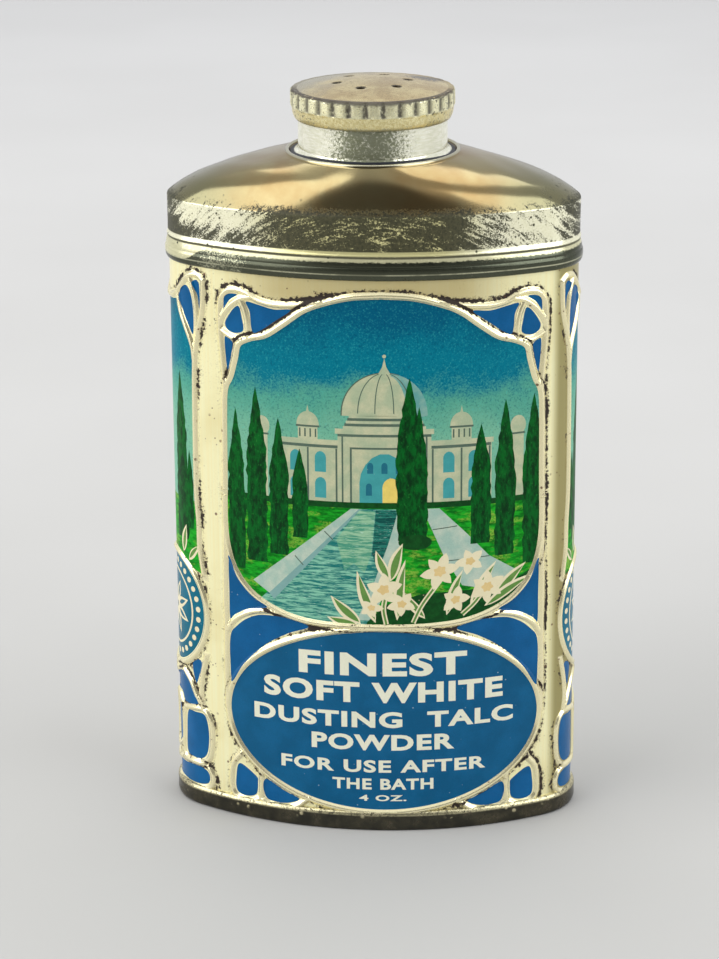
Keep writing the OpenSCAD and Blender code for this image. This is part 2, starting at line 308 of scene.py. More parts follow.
def nearest(points, paths, step=0.12):
    """Distance from each point to the nearest of the paths, and the direction away from it."""
    samples = np.concatenate([line_path(p, step) for p in paths])
    along = np.concatenate([np.gradient(line_path(p, step), axis=0) for p in paths])
    along /= np.maximum(np.linalg.norm(along, axis=1), 1e-9)[:, None]
    tree = KDTree(len(samples))
    for i, (x, z) in enumerate(samples):
        tree.insert((x, z, 0), i)
    tree.balance()
    index = np.array([tree.find((x, z, 0))[1] for x, z in points])
    gap = points - samples[index]
    past = np.sum(gap * along[index], axis=1)
    gap = np.where((np.abs(past) < step)[:, None], gap - past[:, None] * along[index], gap)
    far = np.linalg.norm(gap, axis=1)
    return far, gap / np.maximum(far, 1e-9)[:, None]


# ---------------------------------------------------------------- the printed design
class Design:
    """Closed outlines painted one over another; each belongs to a group that becomes one piece."""

    def __init__(self):
        self.shapes = []

    def add(self, group, outline):
        self.shapes.append((group, np.asarray(outline, float)))

    def both(self, group, outline):
        self.add(group, outline)
        self.add(group, mirrored(outline))

    def patch(self, group, corners, step):
        """A straight-sided area."""
        self.add(group, line_path(corners, step, True))


def arch_outline(cx, z0, w, h, point=0.15):
    """Doorway or window: straight sides and a slightly pointed top."""
    r = w / 2
    spring = z0 + h - r * (1 + point)
    arc = [(cx + r * math.cos(a), spring + r * (1 + point * math.sin(a)) * math.sin(a))
           for a in np.radians(np.arange(0, 181, 20))]
    return np.array([(cx - r, z0), (cx + r, z0)] + arc)


def stroke(path, width, taper=0.0):
    """Outline of a brush stroke along a path; with taper it thins to a point at its end."""
    p = np.asarray(path, float)
    t = np.linspace(0, 1, len(p))
    w = width / 2 * (1 - taper * t ** 2)
    left = offset_path(p, 1.0) - p
    return np.concatenate([p + left * w[:, None], (p - left * w[:, None])[::-1]])


def leaf(x, z, length, width, angle, bend=0.15):
    """Pointed leaf growing from (x, z) at an angle in degrees."""
    t = np.linspace(0, 1, 9)
    a = math.radians(angle)
    half = width / 2 * np.sin(np.pi * t ** 0.8)
    along = np.stack([length * t, bend * length * np.sin(np.pi * t / 2)], 1)
    outline = np.concatenate([along + np.stack([0 * t, half], 1),
                              (along - np.stack([0 * t, half], 1))[::-1]])
    turn = np.array([[math.cos(a), math.sin(a)], [-math.sin(a), math.cos(a)]])
    return outline @ turn + [x, z]


def cypress(cx, foot, tip, width, rng):
    """Tall flame-shaped tree with a ragged outline."""
    h = tip - foot
    steps = max(10, int(h / 0.9))
    t = np.linspace(0, 1, steps)
    w = width / 2 * np.minimum(1, 2.6 * (1 - t)) * (0.9 + 0.1 * np.sin(3 * t)) * (1 - t ** 5)
    w = np.where(t > 0.6, width / 2 * ((1 - t) / 0.4) ** 0.85, w)
    left = [(cx - w[i] * (1 + rng.uniform(-0.16, 0.10)), foot + h * t[i]) for i in range(steps)]
    right = [(cx + w[i] * (1 + rng.uniform(-0.16, 0.10)), foot + h * t[i]) for i in range(steps - 1)]
    return np.array(left + right[::-1])


def blossom(x, z, r, petals, turn, depth=0.46):
    """Star-shaped flower with pointed petals, seen from the front."""
    a = np.linspace(0, 2 * np.pi, petals * 10, endpoint=False)
    swing = (a * petals / (2 * np.pi)) % 1
    off_tip = np.minimum(swing, 1 - swing) * 2
    rr = r * (1 - depth * off_tip ** 0.9) * (1 + 0.1 * np.sin(2 * a + 3 * turn))
    return np.stack([x + rr * np.cos(a + turn), z + rr * np.sin(a + turn)], 1)


def lettering(words, cx, cz, cap_height, width, bold):
    """Points, outline edges and triangles of words in Blender's own plain typeface, fitted to a width."""
    curve = bpy.data.curves.new("words", "FONT")
    curve.body = words
    curve.align_x = "CENTER"
    curve.align_y = "CENTER"
    curve.size = cap_height / 0.73
    curve.space_character = 1.12
    curve.offset = bold
    curve.resolution_u = 4
    obj = bpy.data.objects.new("words", curve)
    bpy.context.scene.collection.objects.link(obj)
    bpy.context.view_layer.update()
    mesh = bpy.data.meshes.new_from_object(obj.evaluated_get(bpy.context.evaluated_depsgraph_get()))
    pts = np.array([v.co[:2] for v in mesh.vertices])
    middle = (pts.max(0) + pts.min(0)) / 2
    pts = (pts - middle) * [width / np.ptp(pts[:, 0]), 1] + [cx, cz]
    tris = [list(p.vertices) for p in mesh.polygons]
    uses = Counter(tuple(sorted(edge)) for tri in tris for edge in zip(tri, tri[1:] + tri[:1]))
    rim = [edge for edge, times in uses.items() if times == 1]
    bpy.data.objects.remove(obj)
    bpy.data.curves.remove(curve)
    bpy.data.meshes.remove(mesh)
    return pts, rim, tris


def inset_shape(path, d):
    """Closed outline pulled inwards by d."""
    area = np.sum(path[:, 0] * np.roll(path[:, 1], -1) - np.roll(path[:, 0], -1) * path[:, 1])
    return offset_path(path, d if area > 0 else -d, closed=True)


def frame_opening():
    """Edge of the picture, just inside the frame rib."""
    half = smooth_path(FRAME_HALF, 0.5)
    whole = np.concatenate([half, mirrored(half)[1:-1]])
    return inset_shape(whole, RIB_W - 0.1)


def side_opening():
    """Left half of the sky panel on the narrow end, closed along its middle."""
    top = smooth_path([(-SIDE_X, 80.6), (-35.2, 80.75), (-33.9, 81.0), (-33.1, 80.6)], 0.5)
    scoop = smooth_path(SIDE_SCOOP[1:], 0.5)
    post = smooth_path(SIDE_POST[4:], 0.5)
    wide = RIB_W - 0.1
    edge = offset_path(np.concatenate([top, scoop, post[1:]]), -wide)
    edge = edge[edge[:, 0] > -SIDE_X]
    ring = ellipse(-SIDE_X, MEDAL_Z, MEDAL_R + wide, MEDAL_R + 0.9 + wide, 24, 0, 90)
    ring = ring[(ring[:, 1] > 38.4) & (ring[:, 0] > -SIDE_X)]
    return np.concatenate([[(-SIDE_X, edge[0, 1])], edge, ring, [(-SIDE_X, ring[-1, 1])]])


# Blue enamel cells between the ribs, left half
CELLS = [
    [(-24.2, 82.0), (-24.25, 80.4), (-23.2, 81.9), (-21.9, 82.75), (-22.6, 82.9), (-23.6, 82.7)],
    [(-24.1, 78.3), (-23.2, 79.9), (-22.2, 81.0), (-21.6, 81.0), (-21.2, 79.4), (-21.0, 77.5),
     (-22.4, 76.95), (-23.6, 77.3)],
    [(-20.5, 81.9), (-19.9, 80.4), (-19.5, 77.5), (-18.2, 77.8), (-15.9, 79.4), (-13.4, 81.3),
     (-16.0, 81.2), (-18.7, 81.7)],
    [(-24.15, 76.2), (-22.9, 75.6), (-23.1, 73.6), (-23.75, 71.2), (-24.1, 73.5)],
    [(-24.1, 42.2), (-22.5, 38.9), (-20.2, 36.4), (-17.6, 34.95), (-20.9, 34.1), (-23.4, 32.7),
     (-24.15, 31.9), (-24.25, 36)],
    [(-24.15, 29.3), (-23.0, 31.0), (-21.0, 32.6), (-18.4, 33.5), (-14.0, 33.4), (-11.2, 32.4),
     (-14.5, 31.0), (-18.2, 28.7), (-21.6, 25.3), (-23.9, 21.9), (-24.3, 25.0)],
    [(-22.9, 8.5), (-23.6, 6.3), (-23.5, 3.9), (-21.9, 3.3), (-20.1, 3.9), (-19.8, 6.0), (-20.1, 6.9)],
    [(-18.5, 6.7), (-18.5, 3.8), (-16.6, 3.15), (-14.5, 3.35), (-13.0, 4.2), (-15.5, 5.3)],
    [(-28.7, 83.7), (-29.9, 83.7), (-29.0, 81.8), (-28.65, 79.4)],
    [(-31.4, 83.0), (-32.8, 81.4), (-32.0, 79.0), (-30.9, 77.0), (-30.0, 75.7), (-29.85, 78.8),
     (-30.3, 81.8)],
    [(-31.7, 22.9), (-30.2, 24.0), (-29.7, 23.2), (-30.3, 21.3), (-31.0, 20.0)],
    [(-33.2, 14.7), (-31.3, 15.1), (-29.6, 15.1), (-28.9, 14.0), (-28.6, 11.5), (-29.0, 8.8),
     (-30.2, 7.6), (-32.4, 7.5), (-33.6, 8.0), (-33.7, 10.5)],
    [(-SIDE_X - 0.6, 5.3), (-34.0, 5.9), (-31.0, 6.2), (-29.2, 5.8), (-28.6, 4.9), (-28.9, 3.8),
     (-30.4, 3.3), (-33.4, 3.2), (-SIDE_X - 0.6, 3.6)],
    [(-SIDE_X - 0.6, 19.7), (-34.7, 20.9), (-32.8, 19.8), (-31.4, 17.7), (-30.6, 16.6),
     (-33.9, 16.1), (-35.2, 17.3), (-SIDE_X - 0.6, 17.9)],
    [(-SIDE_X - 0.6, 16.4), (-35.9, 15.9), (-35.3, 14.2), (-35.2, 12.0), (-35.4, 10.0),
     (-36.1, 9.1), (-SIDE_X - 0.6, 8.9)],
]


def paint_pavilion(d):
    """Own design: a domed garden pavilion with two wings, cupolas, arched windows and a doorway."""
    mid, ground = 0.4, 52.0

    def block(group, x, half, low, high, step=0.8):
        d.patch(group, [(x - half, low), (x + half, low), (x + half, high), (x - half, high)], step)

    for side, turret in ((-1, mid - 18.6), (1, mid + 20.2)):
        x = mid + side * 11.4
        block("stone", x, 4.6, ground, 61.2)
        block("stone", x, 4.9, 61.2, 62.0)
        block("stone_shade", x, 4.5, 60.75, 61.2)
        for tier in (53.0, 57.0):
            for k in (-1, 1):
                d.add("glaze", arch_outline(x + k * 1.9, tier, 1.7, 3.2))
        for k in (-4.3, 0, 4.3):
            block("stone_shade", x + k, 0.14, ground, 60.7)
        cupola = ellipse(x, 64.2, 1.7, 2.0, 20, 0, 180)
        d.add("stone", np.concatenate([[(x + 1.7, 63.9)], cupola, [(x - 1.7, 63.9)]]))
        block("stone", x, 1.5, 62.0, 64.0)
        for k in (-1.2, -0.4, 0.4, 1.2):
            block("stone_shade", x + k, 0.12, 62.3, 63.6, 0.5)
        block("stone_shade", x, 1.8, 63.8, 64.1, 0.5)
        d.patch("stone", [(x - 0.25, 66.0), (x + 0.25, 66.0), (x, 67.2)], 0.5)
        block("stone", turret, 0.9, ground, 63.0)
        d.add("stone", ellipse(turret, 63.4, 1.25, 1.5, 16))
        block("stone_shade", turret, 1.1, 62.0, 62.3, 0.5)
    block("stone", mid, 6.9, ground, 63.0)
    block("stone", mid, 7.3, 63.0, 63.8)
    block("stone_shade", mid, 6.9, 62.6, 63.0)
    for k in (-6.2, 6.2):
        block("stone_shade", mid + k, 0.13, ground, 62.6)
    block("stone_shade", mid, 5.1, ground, 61.0)
    block("stone", mid, 4.8, ground, 60.7)
    d.add("glaze", arch_outline(mid, ground, 7.4, 8.1, 0.22))
    for x in (-2.1, 0.0, 2.1):
        d.add("glaze_dark", arch_outline(mid + x, 57.0, 0.9, 1.7))
    for x in (-2.3, 3.2):
        d.add("glaze_dark", arch_outline(mid + x, 53.6, 0.9, 1.9))
    d.add("lamp", arch_outline(mid + 1.0, ground, 2.6, 4.3, 0.1))
    for k in range(5):
        z = 63.8 + 0.42 * k
        block("stone_shade" if k % 2 else "stone", mid, 6.1 - 0.22 * k, z, z + 0.43)

    # The dome: its outline, cool shade on the right, and ribs
    dome = [(mid + 6.35 * math.cos(a), 65.8 + 6.6 * max(0.0, math.sin(a)) ** 0.92)
            for a in np.radians(np.arange(0, 181, 5))]
    d.add("stone", dome)
    shade = [(x, z) for x, z in dome if x > mid + 0.8]
    inner = [(mid + 0.8 + (x - mid - 0.8) * 0.45, z - 0.4) for x, z in shade][::-1]
    d.add("stone_cool", shade + inner)
    d.add("stone_shade", stroke(dome[:13:-1], 0.2, 0.5))
    for k in (-0.62, -0.22, 0.22, 0.62):
        rib = [(mid + k * 6.3 * math.cos(a), 65.9 + 6.45 * math.sin(a) ** 0.92)
               for a in np.radians(np.arange(2, 89, 6))]
        d.add("stone_shade", stroke(rib, 0.16, 0.3))
    d.patch("stone", [(mid - 0.9, 72.2), (mid + 0.9, 72.2), (mid + 0.3, 73.3), (mid, 74.6),
                      (mid - 0.3, 73.3)], 0.5)
    d.add("stone", ellipse(mid, 74.9, 0.28, 0.28, 12))


# The garden's flat areas, in the order of painting: group, corners, distance between their points
GARDEN = [
    ("water", [(-3.3, 51.5), (2.6, 51.5), (1.0, 42), (-3, 30), (-26, 30), (-19, 36.0)], 1.0),
    ("mirror_stone", [(-3.4, 51.2), (-1.0, 51.2), (-1.6, 44.5), (-2.6, 41.5), (-4.2, 43.0), (-5.6, 41.8),
                      (-6.8, 46.6)], 0.8),
    ("mirror_glaze", [(-0.9, 51.3), (2.3, 51.3), (1.3, 46.5), (0.3, 43.5), (-0.8, 42.4), (-1.5, 44.5)],
     0.8),
    ("path", [(-4.6, 51.5), (-3.4, 51.5), (-17.4, 37.2), (-20.0, 38.9)], 0.8),
    ("path_edge", [(-3.4, 51.5), (-3.1, 51.5), (-16.6, 36.3), (-17.4, 37.2)], 0.8),
    ("path", [(2.5, 51.5), (3.5, 51.5), (3.3, 47.5), (2.2, 43.0), (0.4, 38.5), (-1.5, 34), (-3.8, 34),
              (-1.2, 40), (0.9, 46)], 0.8),
    ("path", [(6.0, 51.5), (8.5, 51.5), (12.5, 47.5), (16.1, 43.6), (20.2, 41.0), (16.5, 38.2),
              (12.0, 39.2), (9.4, 43.5), (7.7, 47.5)], 0.8),
]
# Low kerbs and steps: from x and z, to x and z
KERBS = [(-8.6, 47.8, -7.3, 46.5), (-13.2, 43.6, -11.9, 42.2), (7.5, 48.2, 11.2, 48.6),
         (9.6, 43.2, 16.2, 43.5)]
# Cypresses: middle, foot, tip, width
CYPRESSES = [(-22.6, 40.5, 65.6, 3.0), (-19.2, 42.0, 69.2, 3.6), (-15.6, 43.5, 64.8, 3.2),
             (-12.3, 46.5, 60.4, 2.5), (14.8, 45.6, 64.2, 3.2), (18.6, 43.4, 67.6, 3.4),
             (23.2, 41.6, 68.0, 3.6), (4.1, 46.6, 71.6, 4.0), (5.5, 46.4, 67.2, 2.6)]
# Lily leaves: foot x and z, length, width, angle
LEAVES = [(-3.2, 33.4, 6.2, 1.9, 128), (-3.6, 33.2, 4.8, 1.6, 158), (-1.0, 33.6, 8.6, 1.8, 100),
          (2.2, 34.0, 9.6, 1.7, 74), (9.6, 34.6, 7.4, 1.5, 62), (13.2, 35.4, 8.2, 1.7, 52),
          (16.6, 36.4, 7.6, 1.8, 36), (1.2, 40.2, 6.2, 1.9, 64), (1.0, 40.4, 5.0, 1.6, 104),
          (15.4, 35.6, 8.6, 1.6, 20), (6.4, 34.2, 5.6, 1.4, 118)]
# Stems of the lilies
STEMS = [[(4.6, 33.6), (6.0, 36.5), (8.8, 40.4)], [(0.6, 33.4), (0.2, 36.0), (0.8, 39.0)],
         [(12.0, 34.6), (13.8, 36.2), (15.6, 38.4)]]
# Flowers: middle x and z, radius, petals, turn
FLOWERS = [(0.2, 38.9, 2.7, 5, 0.3), (2.9, 36.6, 2.1, 5, 0.9), (8.6, 41.6, 2.9, 6, 0.2),
           (13.2, 42.9, 2.2, 5, 0.7), (15.9, 38.6, 2.7, 6, 0.5), (11.0, 37.0, 2.2, 5, 0.1),
           (-1.6, 36.0, 1.7, 5, 1.2)]


def paint_garden(d):
    """Lawn, hedge, pool with stone edges, and cypresses, inside the picture's frame."""
    rng = random.Random(11)
    d.patch("lawn", [(-26, 30), (26, 30), (26, 52.2), (-26, 52.2)], 1.2)
    d.patch("hedge", [(-26, 51.6), (26, 51.6), (26, 52.5), (-26, 52.5)], 1.0)
    for group, corners, step in GARDEN:
        d.patch(group, corners, step)
    for x0, z0, x1, z1 in KERBS:
        d.add("stone_shade", stroke(line_path([(x0, z0), (x1, z1)], 0.6), 0.16))
    for tree in CYPRESSES:
        d.add("cypress", cypress(*tree, rng))
    d.add("hedge", ellipse(4.9, 46.3, 2.5, 1.2, 24))
    d.patch("hedge", [(-2.2, 33.8), (0.5, 36.5), (6, 38.2), (13, 38.4), (19, 38.6), (23.2, 40.8),
                      (26, 40), (26, 30), (-4, 30)], 0.8)


def paint_lilies(d):
    """Own design: a spray of simple star flowers and leaves along the bottom right."""
    for x, z, length, width, angle in LEAVES:
        start = 0.06 * length * np.array([math.cos(math.radians(angle)), math.sin(math.radians(angle))])
        d.add("lily", leaf(x, z, length, width, angle))
        d.add("leaf", leaf(*(start + (x, z)), length * 0.86, width * 0.56, angle))
    for points in STEMS:
        d.add("lily", stroke(smooth_path(points), 0.75))
        d.add("leaf", stroke(smooth_path(points), 0.32))
    for x, z, r, petals, turn in FLOWERS:
        d.add("lily", blossom(x, z, r, petals, turn))
        d.add("lily_core", blossom(x, z, r * 0.34, petals, turn + 0.5, 0.3))


def paint_side(d):
    """Narrow end: sky, lawn, two cypresses, and the beaded medallion with a rosette."""
    rng = random.Random(5)
    opening = side_opening()
    d.both("sky_side", opening)
    ground = np.minimum(opening, [np.inf, 49.5])
    d.both("lawn_side", line_path(ground, 1.0, True))
    for tree in ((-33.4, 43.0, 69.5, 3.4), (-31.4, 45.0, 57.5, 1.6)):
        d.both("cypress_side", cypress(*tree, rng))
    for x, z, length, width, angle in ((-33.4, 40.8, 4.6, 1.5, 70), (-32.0, 39.8, 3.6, 1.2, 40)):
        d.both("lily", leaf(x, z, length, width, angle))
        d.both("leaf", leaf(x + 0.1, z + 0.3, length * 0.84, width * 0.5, angle))

    def oval_patch(group, x, z, rx, rz, count):
        d.both(group, ellipse(-SIDE_X + x, MEDAL_Z + z, rx, rz, count))

    oval_patch("enamel_medal", 0, 0, MEDAL_R - RIB_W, MEDAL_R + 0.9 - RIB_W, 96)
    for a in np.radians((np.arange(28) + 0.5) * 360 / 28):
        oval_patch("lily", 6.6 * math.cos(a), 7.4 * math.sin(a), 0.46, 0.46, 12)
    oval_patch("lily", 0, 0, 5.5, 6.2, 72)
    oval_patch("enamel_medal", 0, 0, 5.15, 5.85, 72)
    for angle in np.arange(22.5, 360, 45):
        a = math.radians(angle)
        d.both("lily", leaf(-SIDE_X, MEDAL_Z, 4.6, 1.7, angle, 0.0))
        d.both("enamel_medal", leaf(-SIDE_X + 1.3 * math.cos(a), MEDAL_Z + 1.3 * math.sin(a),
                                    2.6, 0.7, angle, 0.0))
    oval_patch("lily", 0, 0, 1.1, 1.1, 20)
    oval_patch("enamel_medal", 0, 0, 0.5, 0.5, 14)


def paint_design():
    """Every outline in the order of painting, and which of them the picture's frame clips."""
    d = Design()
    for cell in CELLS:
        d.both("enamel", smooth_path(cell, 0.4, closed=True))
    d.add("sky", frame_opening())
    clip_from = len(d.shapes)
    paint_pavilion(d)
    paint_garden(d)
    paint_lilies(d)
    clip_to = len(d.shapes)
    d.add("cartouche", inset_shape(CARTOUCHE, RIB_W - 0.12))
    paint_side(d)
    return d.shapes, clip_from, clip_to


# Plain words, each with the height of its middle, its capitals' height, its width and its boldness
WORDS = [("FINEST", 26.9, 3.5, 25.6, 0.2), ("SOFT WHITE", 22.4, 3.1, 37.0, 0.18),
         ("DUSTING  TALC", 18.0, 2.45, 40.4, 0.13), ("POWDER", 14.3, 2.45, 21.8, 0.13),
         ("FOR USE AFTER", 10.4, 1.95, 31.6, 0.09), ("THE BATH", 7.5, 1.75, 15.4, 0.08),
         ("4 OZ.", 5.2, 0.95, 7.2, 0.04)]


def sheet_points(shapes):
    """Every point of the sheet's triangulation, its edges, and the words as (points, triangles)."""
    points, edges, words = [], [], []

    def add(outline, rim):
        edges.extend((len(points) + a, len(points) + b) for a, b in rim)
        points.extend(map(tuple, outline))

    border = line_path([(-SIDE_X, ART_LOW), (SIDE_X, ART_LOW), (SIDE_X, ART_HIGH), (-SIDE_X, ART_HIGH)],
                       0.8, True)
    for outline in [border] + [shape[1] for shape in shapes]:
        n = len(outline)
        add(outline, [(i, (i + 1) % n) for i in range(n)])
    for text, z, cap, width, bold in WORDS:
        pts, rim, tris = lettering(text, 0.0, z, cap, width, bold)
        add(pts, rim)
        words.append((pts, tris))
    for path, _, _ in RIBS:
        along = line_path(path, 0.5)
        for d in RIB_W * np.array([0.0, 0.36, 0.66, 0.88, 1.01, 1.36]):
            for sign in ((1, -1) if d else (1,)):
                add(offset_path(along, sign * d), [])
    for x in np.linspace(-SIDE_X, SIDE_X, 84)[1:-1]:
        points.extend((x, z) for z in np.linspace(ART_LOW, ART_HIGH, 98)[1:-1])
    return np.array(points), edges, words


def cut_sheet():
    """The printed sheet as one triangulation that follows every outline, with a group per triangle."""
    shapes, clip_from, clip_to = paint_design()
    points, edges, words = sheet_points(shapes)
    # Points far off the sheet are put on one point in its middle, which does no harm there
    far = (np.abs(points[:, 0]) > SIDE_X + 8) | (points[:, 1] <= -5) | (points[:, 1] >= 95)
    points[far] = (0.0, 50.0)
    verts, tris = triangulated(points, edges)
    mid = verts[tris].mean(axis=1)
    ok = (np.abs(mid[:, 0]) < SIDE_X) & (mid[:, 1] > ART_LOW) & (mid[:, 1] < ART_HIGH)
    tris, mid = tris[ok], mid[ok]

    names = ["gold"]
    label = np.zeros(len(tris), int)
    in_picture = inside(frame_opening(), mid)
    for k, (group, outline) in enumerate(shapes):
        if group not in names:
            names.append(group)
        hit = inside(outline, mid)
        if clip_from <= k < clip_to:
            hit &= in_picture
        label[hit] = names.index(group)
    names.append("lettering")
    for word_points, word_tris in words:
        near = in_box(word_points, mid)
        for tri in word_tris:
            label[near[inside(word_points[tri], mid[near])]] = len(names) - 1
    return verts, tris, label, names


# ---------------------------------------------------------------- materials
def linear(colour):
    """Three 0-255 screen values as the linear colour that shaders use; anything else as it is."""
    if isinstance(colour, Field) or len(colour) == 4:
        return colour
    parts = [v / 255 for v in colour]
    return (*(v / 12.92 if v <= 0.04045 else ((v + 0.055) / 1.055) ** 2.4 for v in parts), 1.0)


def scaled(colour, factor, plus=0.0):
    """A screen colour made lighter or darker, as a linear colour."""
    return (*(min(1.0, v * factor + plus) for v in linear(colour)[:3]), 1.0)


class Field:
    """A value that varies over a surface: one node output, on which plain arithmetic works."""

    def __init__(self, look, socket):
        self.look = look
        self.socket = socket

    def calc(self, kind, other=0.0, clamp=False):
        """A Math node's result for this field and another field or number."""
        return self.look.math(kind, self, other, clamp)

    __add__ = partialmethod(calc, "ADD")
    __sub__ = partialmethod(calc, "SUBTRACT")
    __mul__ = partialmethod(calc, "MULTIPLY")
    __pow__ = partialmethod(calc, "POWER")
    __abs__ = partialmethod(calc, "ABSOLUTE")
    most = partialmethod(calc, "MAXIMUM")

    def __rsub__(self, number):
        return self.look.math("SUBTRACT", number, self)

    def ramp(self, low, high, out_low=0.0, out_high=1.0, smooth=True):
        """Goes from out_low to out_high while the field goes from low to high, and stays there."""
        return self.look.field("ShaderNodeMapRange", 0,
                               {"Value": self, "From Min": low, "From Max": high,
                                "To Min": out_low, "To Max": out_high},
                               interpolation_type="SMOOTHSTEP" if smooth else "LINEAR")


class Look:
    """A node material, with short calls for the nodes that the looks below need."""

    def __init__(self, name, roughness=0.4, metallic=0.0):
        self.mat = bpy.data.materials.new(name)
        self.mat.use_nodes = True
        self.nodes = self.mat.node_tree.nodes
        self.inputs = self.nodes["Principled BSDF"].inputs
        self.coords = self.field("ShaderNodeTexCoord", "Object", {})
        self.rough(roughness)
        self.metal(metallic)

    def feed(self, socket, value):
        """Links a field to a socket, or sets the socket to a plain value."""
        if isinstance(value, Field):
            self.mat.node_tree.links.new(value.socket, socket)
        else:
            socket.default_value = value

    def field(self, kind, out, inputs, **settings):
        """One output of a new node, after its settings are made and its inputs fed."""
        node = self.nodes.new(kind)
        for key, value in settings.items():
            setattr(node, key, value)
        for key, value in inputs.items():
            self.feed(node.inputs[key], value)
        return Field(self, node.outputs[out])

    def stretched(self, x=1.0, y=1.0, z=1.0, turn=(0, 0, 0)):
        """Object coordinates in millimetres, turned, and stretched along each axis."""
        return self.field("ShaderNodeMapping", "Vector", {"Vector": self.coords, "Rotation": turn,
                                                          "Scale": (x / MM, y / MM, z / MM)})

    def noise(self, scale=1.0, detail=3.0, rough=0.55, vector=None, warp=0.0):
        return self.field("ShaderNodeTexNoise", "Fac",
                          {"Vector": vector or self.stretched(), "Scale": scale, "Detail": detail,
                           "Roughness": rough, "Distortion": warp})

    def attribute(self, name):
        return self.field("ShaderNodeAttribute", "Fac", {}, attribute_name=name)

    def axis(self, name):
        """One object coordinate, in millimetres."""
        return self.field("ShaderNodeSeparateXYZ", name, {0: self.coords}) * (1 / MM)

    def math(self, kind, a, b=0.0, clamp=False):
        return self.field("ShaderNodeMath", 0, {0: a, 1: b}, operation=kind, use_clamp=clamp)

    def blend(self, amount, a, b):
        return self.field("ShaderNodeMix", 0, {0: amount, 2: a, 3: b}, data_type="FLOAT")

    def layers(self, base, *coats):
        """A base colour with coats over it, each given as (how far it covers, its colour)."""
        for amount, colour in coats:
            base = self.field("ShaderNodeMix", 2, {0: amount, 6: linear(base), 7: linear(colour)},
                              data_type="RGBA")
        return base

    def colour(self, base, *coats):
        self.feed(self.inputs["Base Color"], self.layers(base, *coats))

    def rough(self, value):
        self.feed(self.inputs["Roughness"], value)

    def metal(self, value):
        self.feed(self.inputs["Metallic"], value)

    def varnish(self, specular, coat=0.0, coat_roughness=0.03):
        """Less mirror gloss than bare plastic has, under a thin clear coat."""
        self.inputs["Specular IOR Level"].default_value = specular
        self.inputs["Coat Weight"].default_value = coat
        self.inputs["Coat Roughness"].default_value = coat_roughness

    def bump(self, height, strength, distance):
        self.feed(self.inputs["Normal"], self.field(
            "ShaderNodeBump", "Normal",
            {"Height": height, "Strength": strength, "Distance": distance * MM}))


GRIME = (38, 26, 16)
RUST = (92, 52, 28)


def specks(look, scale, size, turn=0.0):
    """Small scattered dots: 1 on a dot, 0 off it."""
    vector = look.stretched(turn=(turn, turn * 0.7, 0.3))
    many = look.field("ShaderNodeTexVoronoi", "Distance", {"Vector": vector, "Scale": scale})
    some = look.noise(scale * 0.35, 2.0, vector=vector)
    return many.ramp(size, size * 0.55) * some.ramp(0.52, 0.6)


def gold_look():
    """Pale gold lacquer over tinplate, with fine upright lines, grime beside the ribs, rust specks, and
    painted shade on the top band and towards the right end.
    """
    look = Look("gold_lacquer_print")
    x, z = map(look.axis, "XZ")
    rib = look.attribute("rib").ramp(0.0, 0.3)
    lines = look.noise(1.0, 2.0, vector=look.stretched(2.6, 2.6, 0.04))
    # Painted shade: the top band is darkened to tan in its middle
    top = z.ramp(80, 84) * abs(x).ramp(24, 12, 0, 0.7)
    dirt = look.attribute("grime") + look.noise(0.16, 2.0).ramp(0.36, 0.62, -0.3, 0.12)
    line = (dirt + look.noise(1.6, 4.0, 0.7).ramp(0.2, 0.8, -0.55, 0.35)).ramp(0.4, 0.56)
    wide = (dirt + look.noise(4.0, 3.0).ramp(0.2, 0.8, -0.6, 0.3)).ramp(0.1, 0.7, 0, 0.45)
    dots = specks(look, 0.55, 0.17).most(specks(look, 1.1, 0.16, 1.0))
    dark = line.most(dots, clamp=True)
    look.colour((254, 246, 192), (lines.ramp(0.3, 0.7), (255, 251, 204)),
                (look.noise(0.09, 3.0).ramp(0.45, 0.75, 0, 0.4), (226, 210, 146)),
                # Painted shade: the gold darkens towards the right end
                (x.ramp(26.6, 28.2, 0, 0.9), (148, 138, 82)), (top, (190, 172, 116)),
                (rib, (253, 244, 200)), (wide, (140, 116, 66)), (line, GRIME), (dots * 0.9, RUST))
    look.metal(dark.ramp(0, 1, 0.5, 0.0) * rib.ramp(0, 1, 1, 1.5))
    look.rough(look.blend(dark, 0.28 - rib * 0.06, 0.75))
    look.bump(lines * (1.0 - rib) * 0.15 - dark, 0.22, 0.03)
    return look.mat


def ink_look(name, colour, second=None, grain=0.12, amount=0.35, scale=0.5):
    """Printed ink: two close colours, a fine litho grain and a varnish gloss."""
    look = Look(name, 0.34)
    dots = look.noise(5.5, 2.0, 0.8)
    look.colour(colour,
                (look.noise(scale).ramp(0.35, 0.7, 0, amount), second or scaled(colour, 1.3, 0.01)),
                (dots.ramp(0.35, 0.65, 0, grain), scaled(colour, 0.45)),
                (specks(look, 0.8, 0.1, 2.0) * 0.6, (200, 190, 150)))
    look.varnish(0.14, 0.05, 0.12)
    look.bump(dots, 0.12, 0.01)
    return look.mat


def sky_look(name):
    """Night-blue sky that turns teal and pale green towards the horizon, with a stippled grain."""
    look = Look(name, 0.36)
    grain = look.noise(3.2, 3.0, 0.8)
    z = look.axis("Z") + look.noise(0.12).ramp(0.3, 0.7, -1.6, 1.6) + grain.ramp(0.3, 0.7, 1.2, -1.2)
    look.colour((0, 88, 118), (z.ramp(82, 74), (0, 114, 136)), (z.ramp(72.4, 67.8), (82, 158, 138)),
                (z.ramp(69, 60), (120, 180, 150)), (grain.ramp(0.53, 0.7, 0, 0.42), (60, 176, 170)),
                (grain.ramp(0.47, 0.32, 0, 0.5), (0, 64, 96)))
    look.varnish(0.07, 0.02, 0.14)
    look.bump(grain, 0.1, 0.01)
    return look.mat


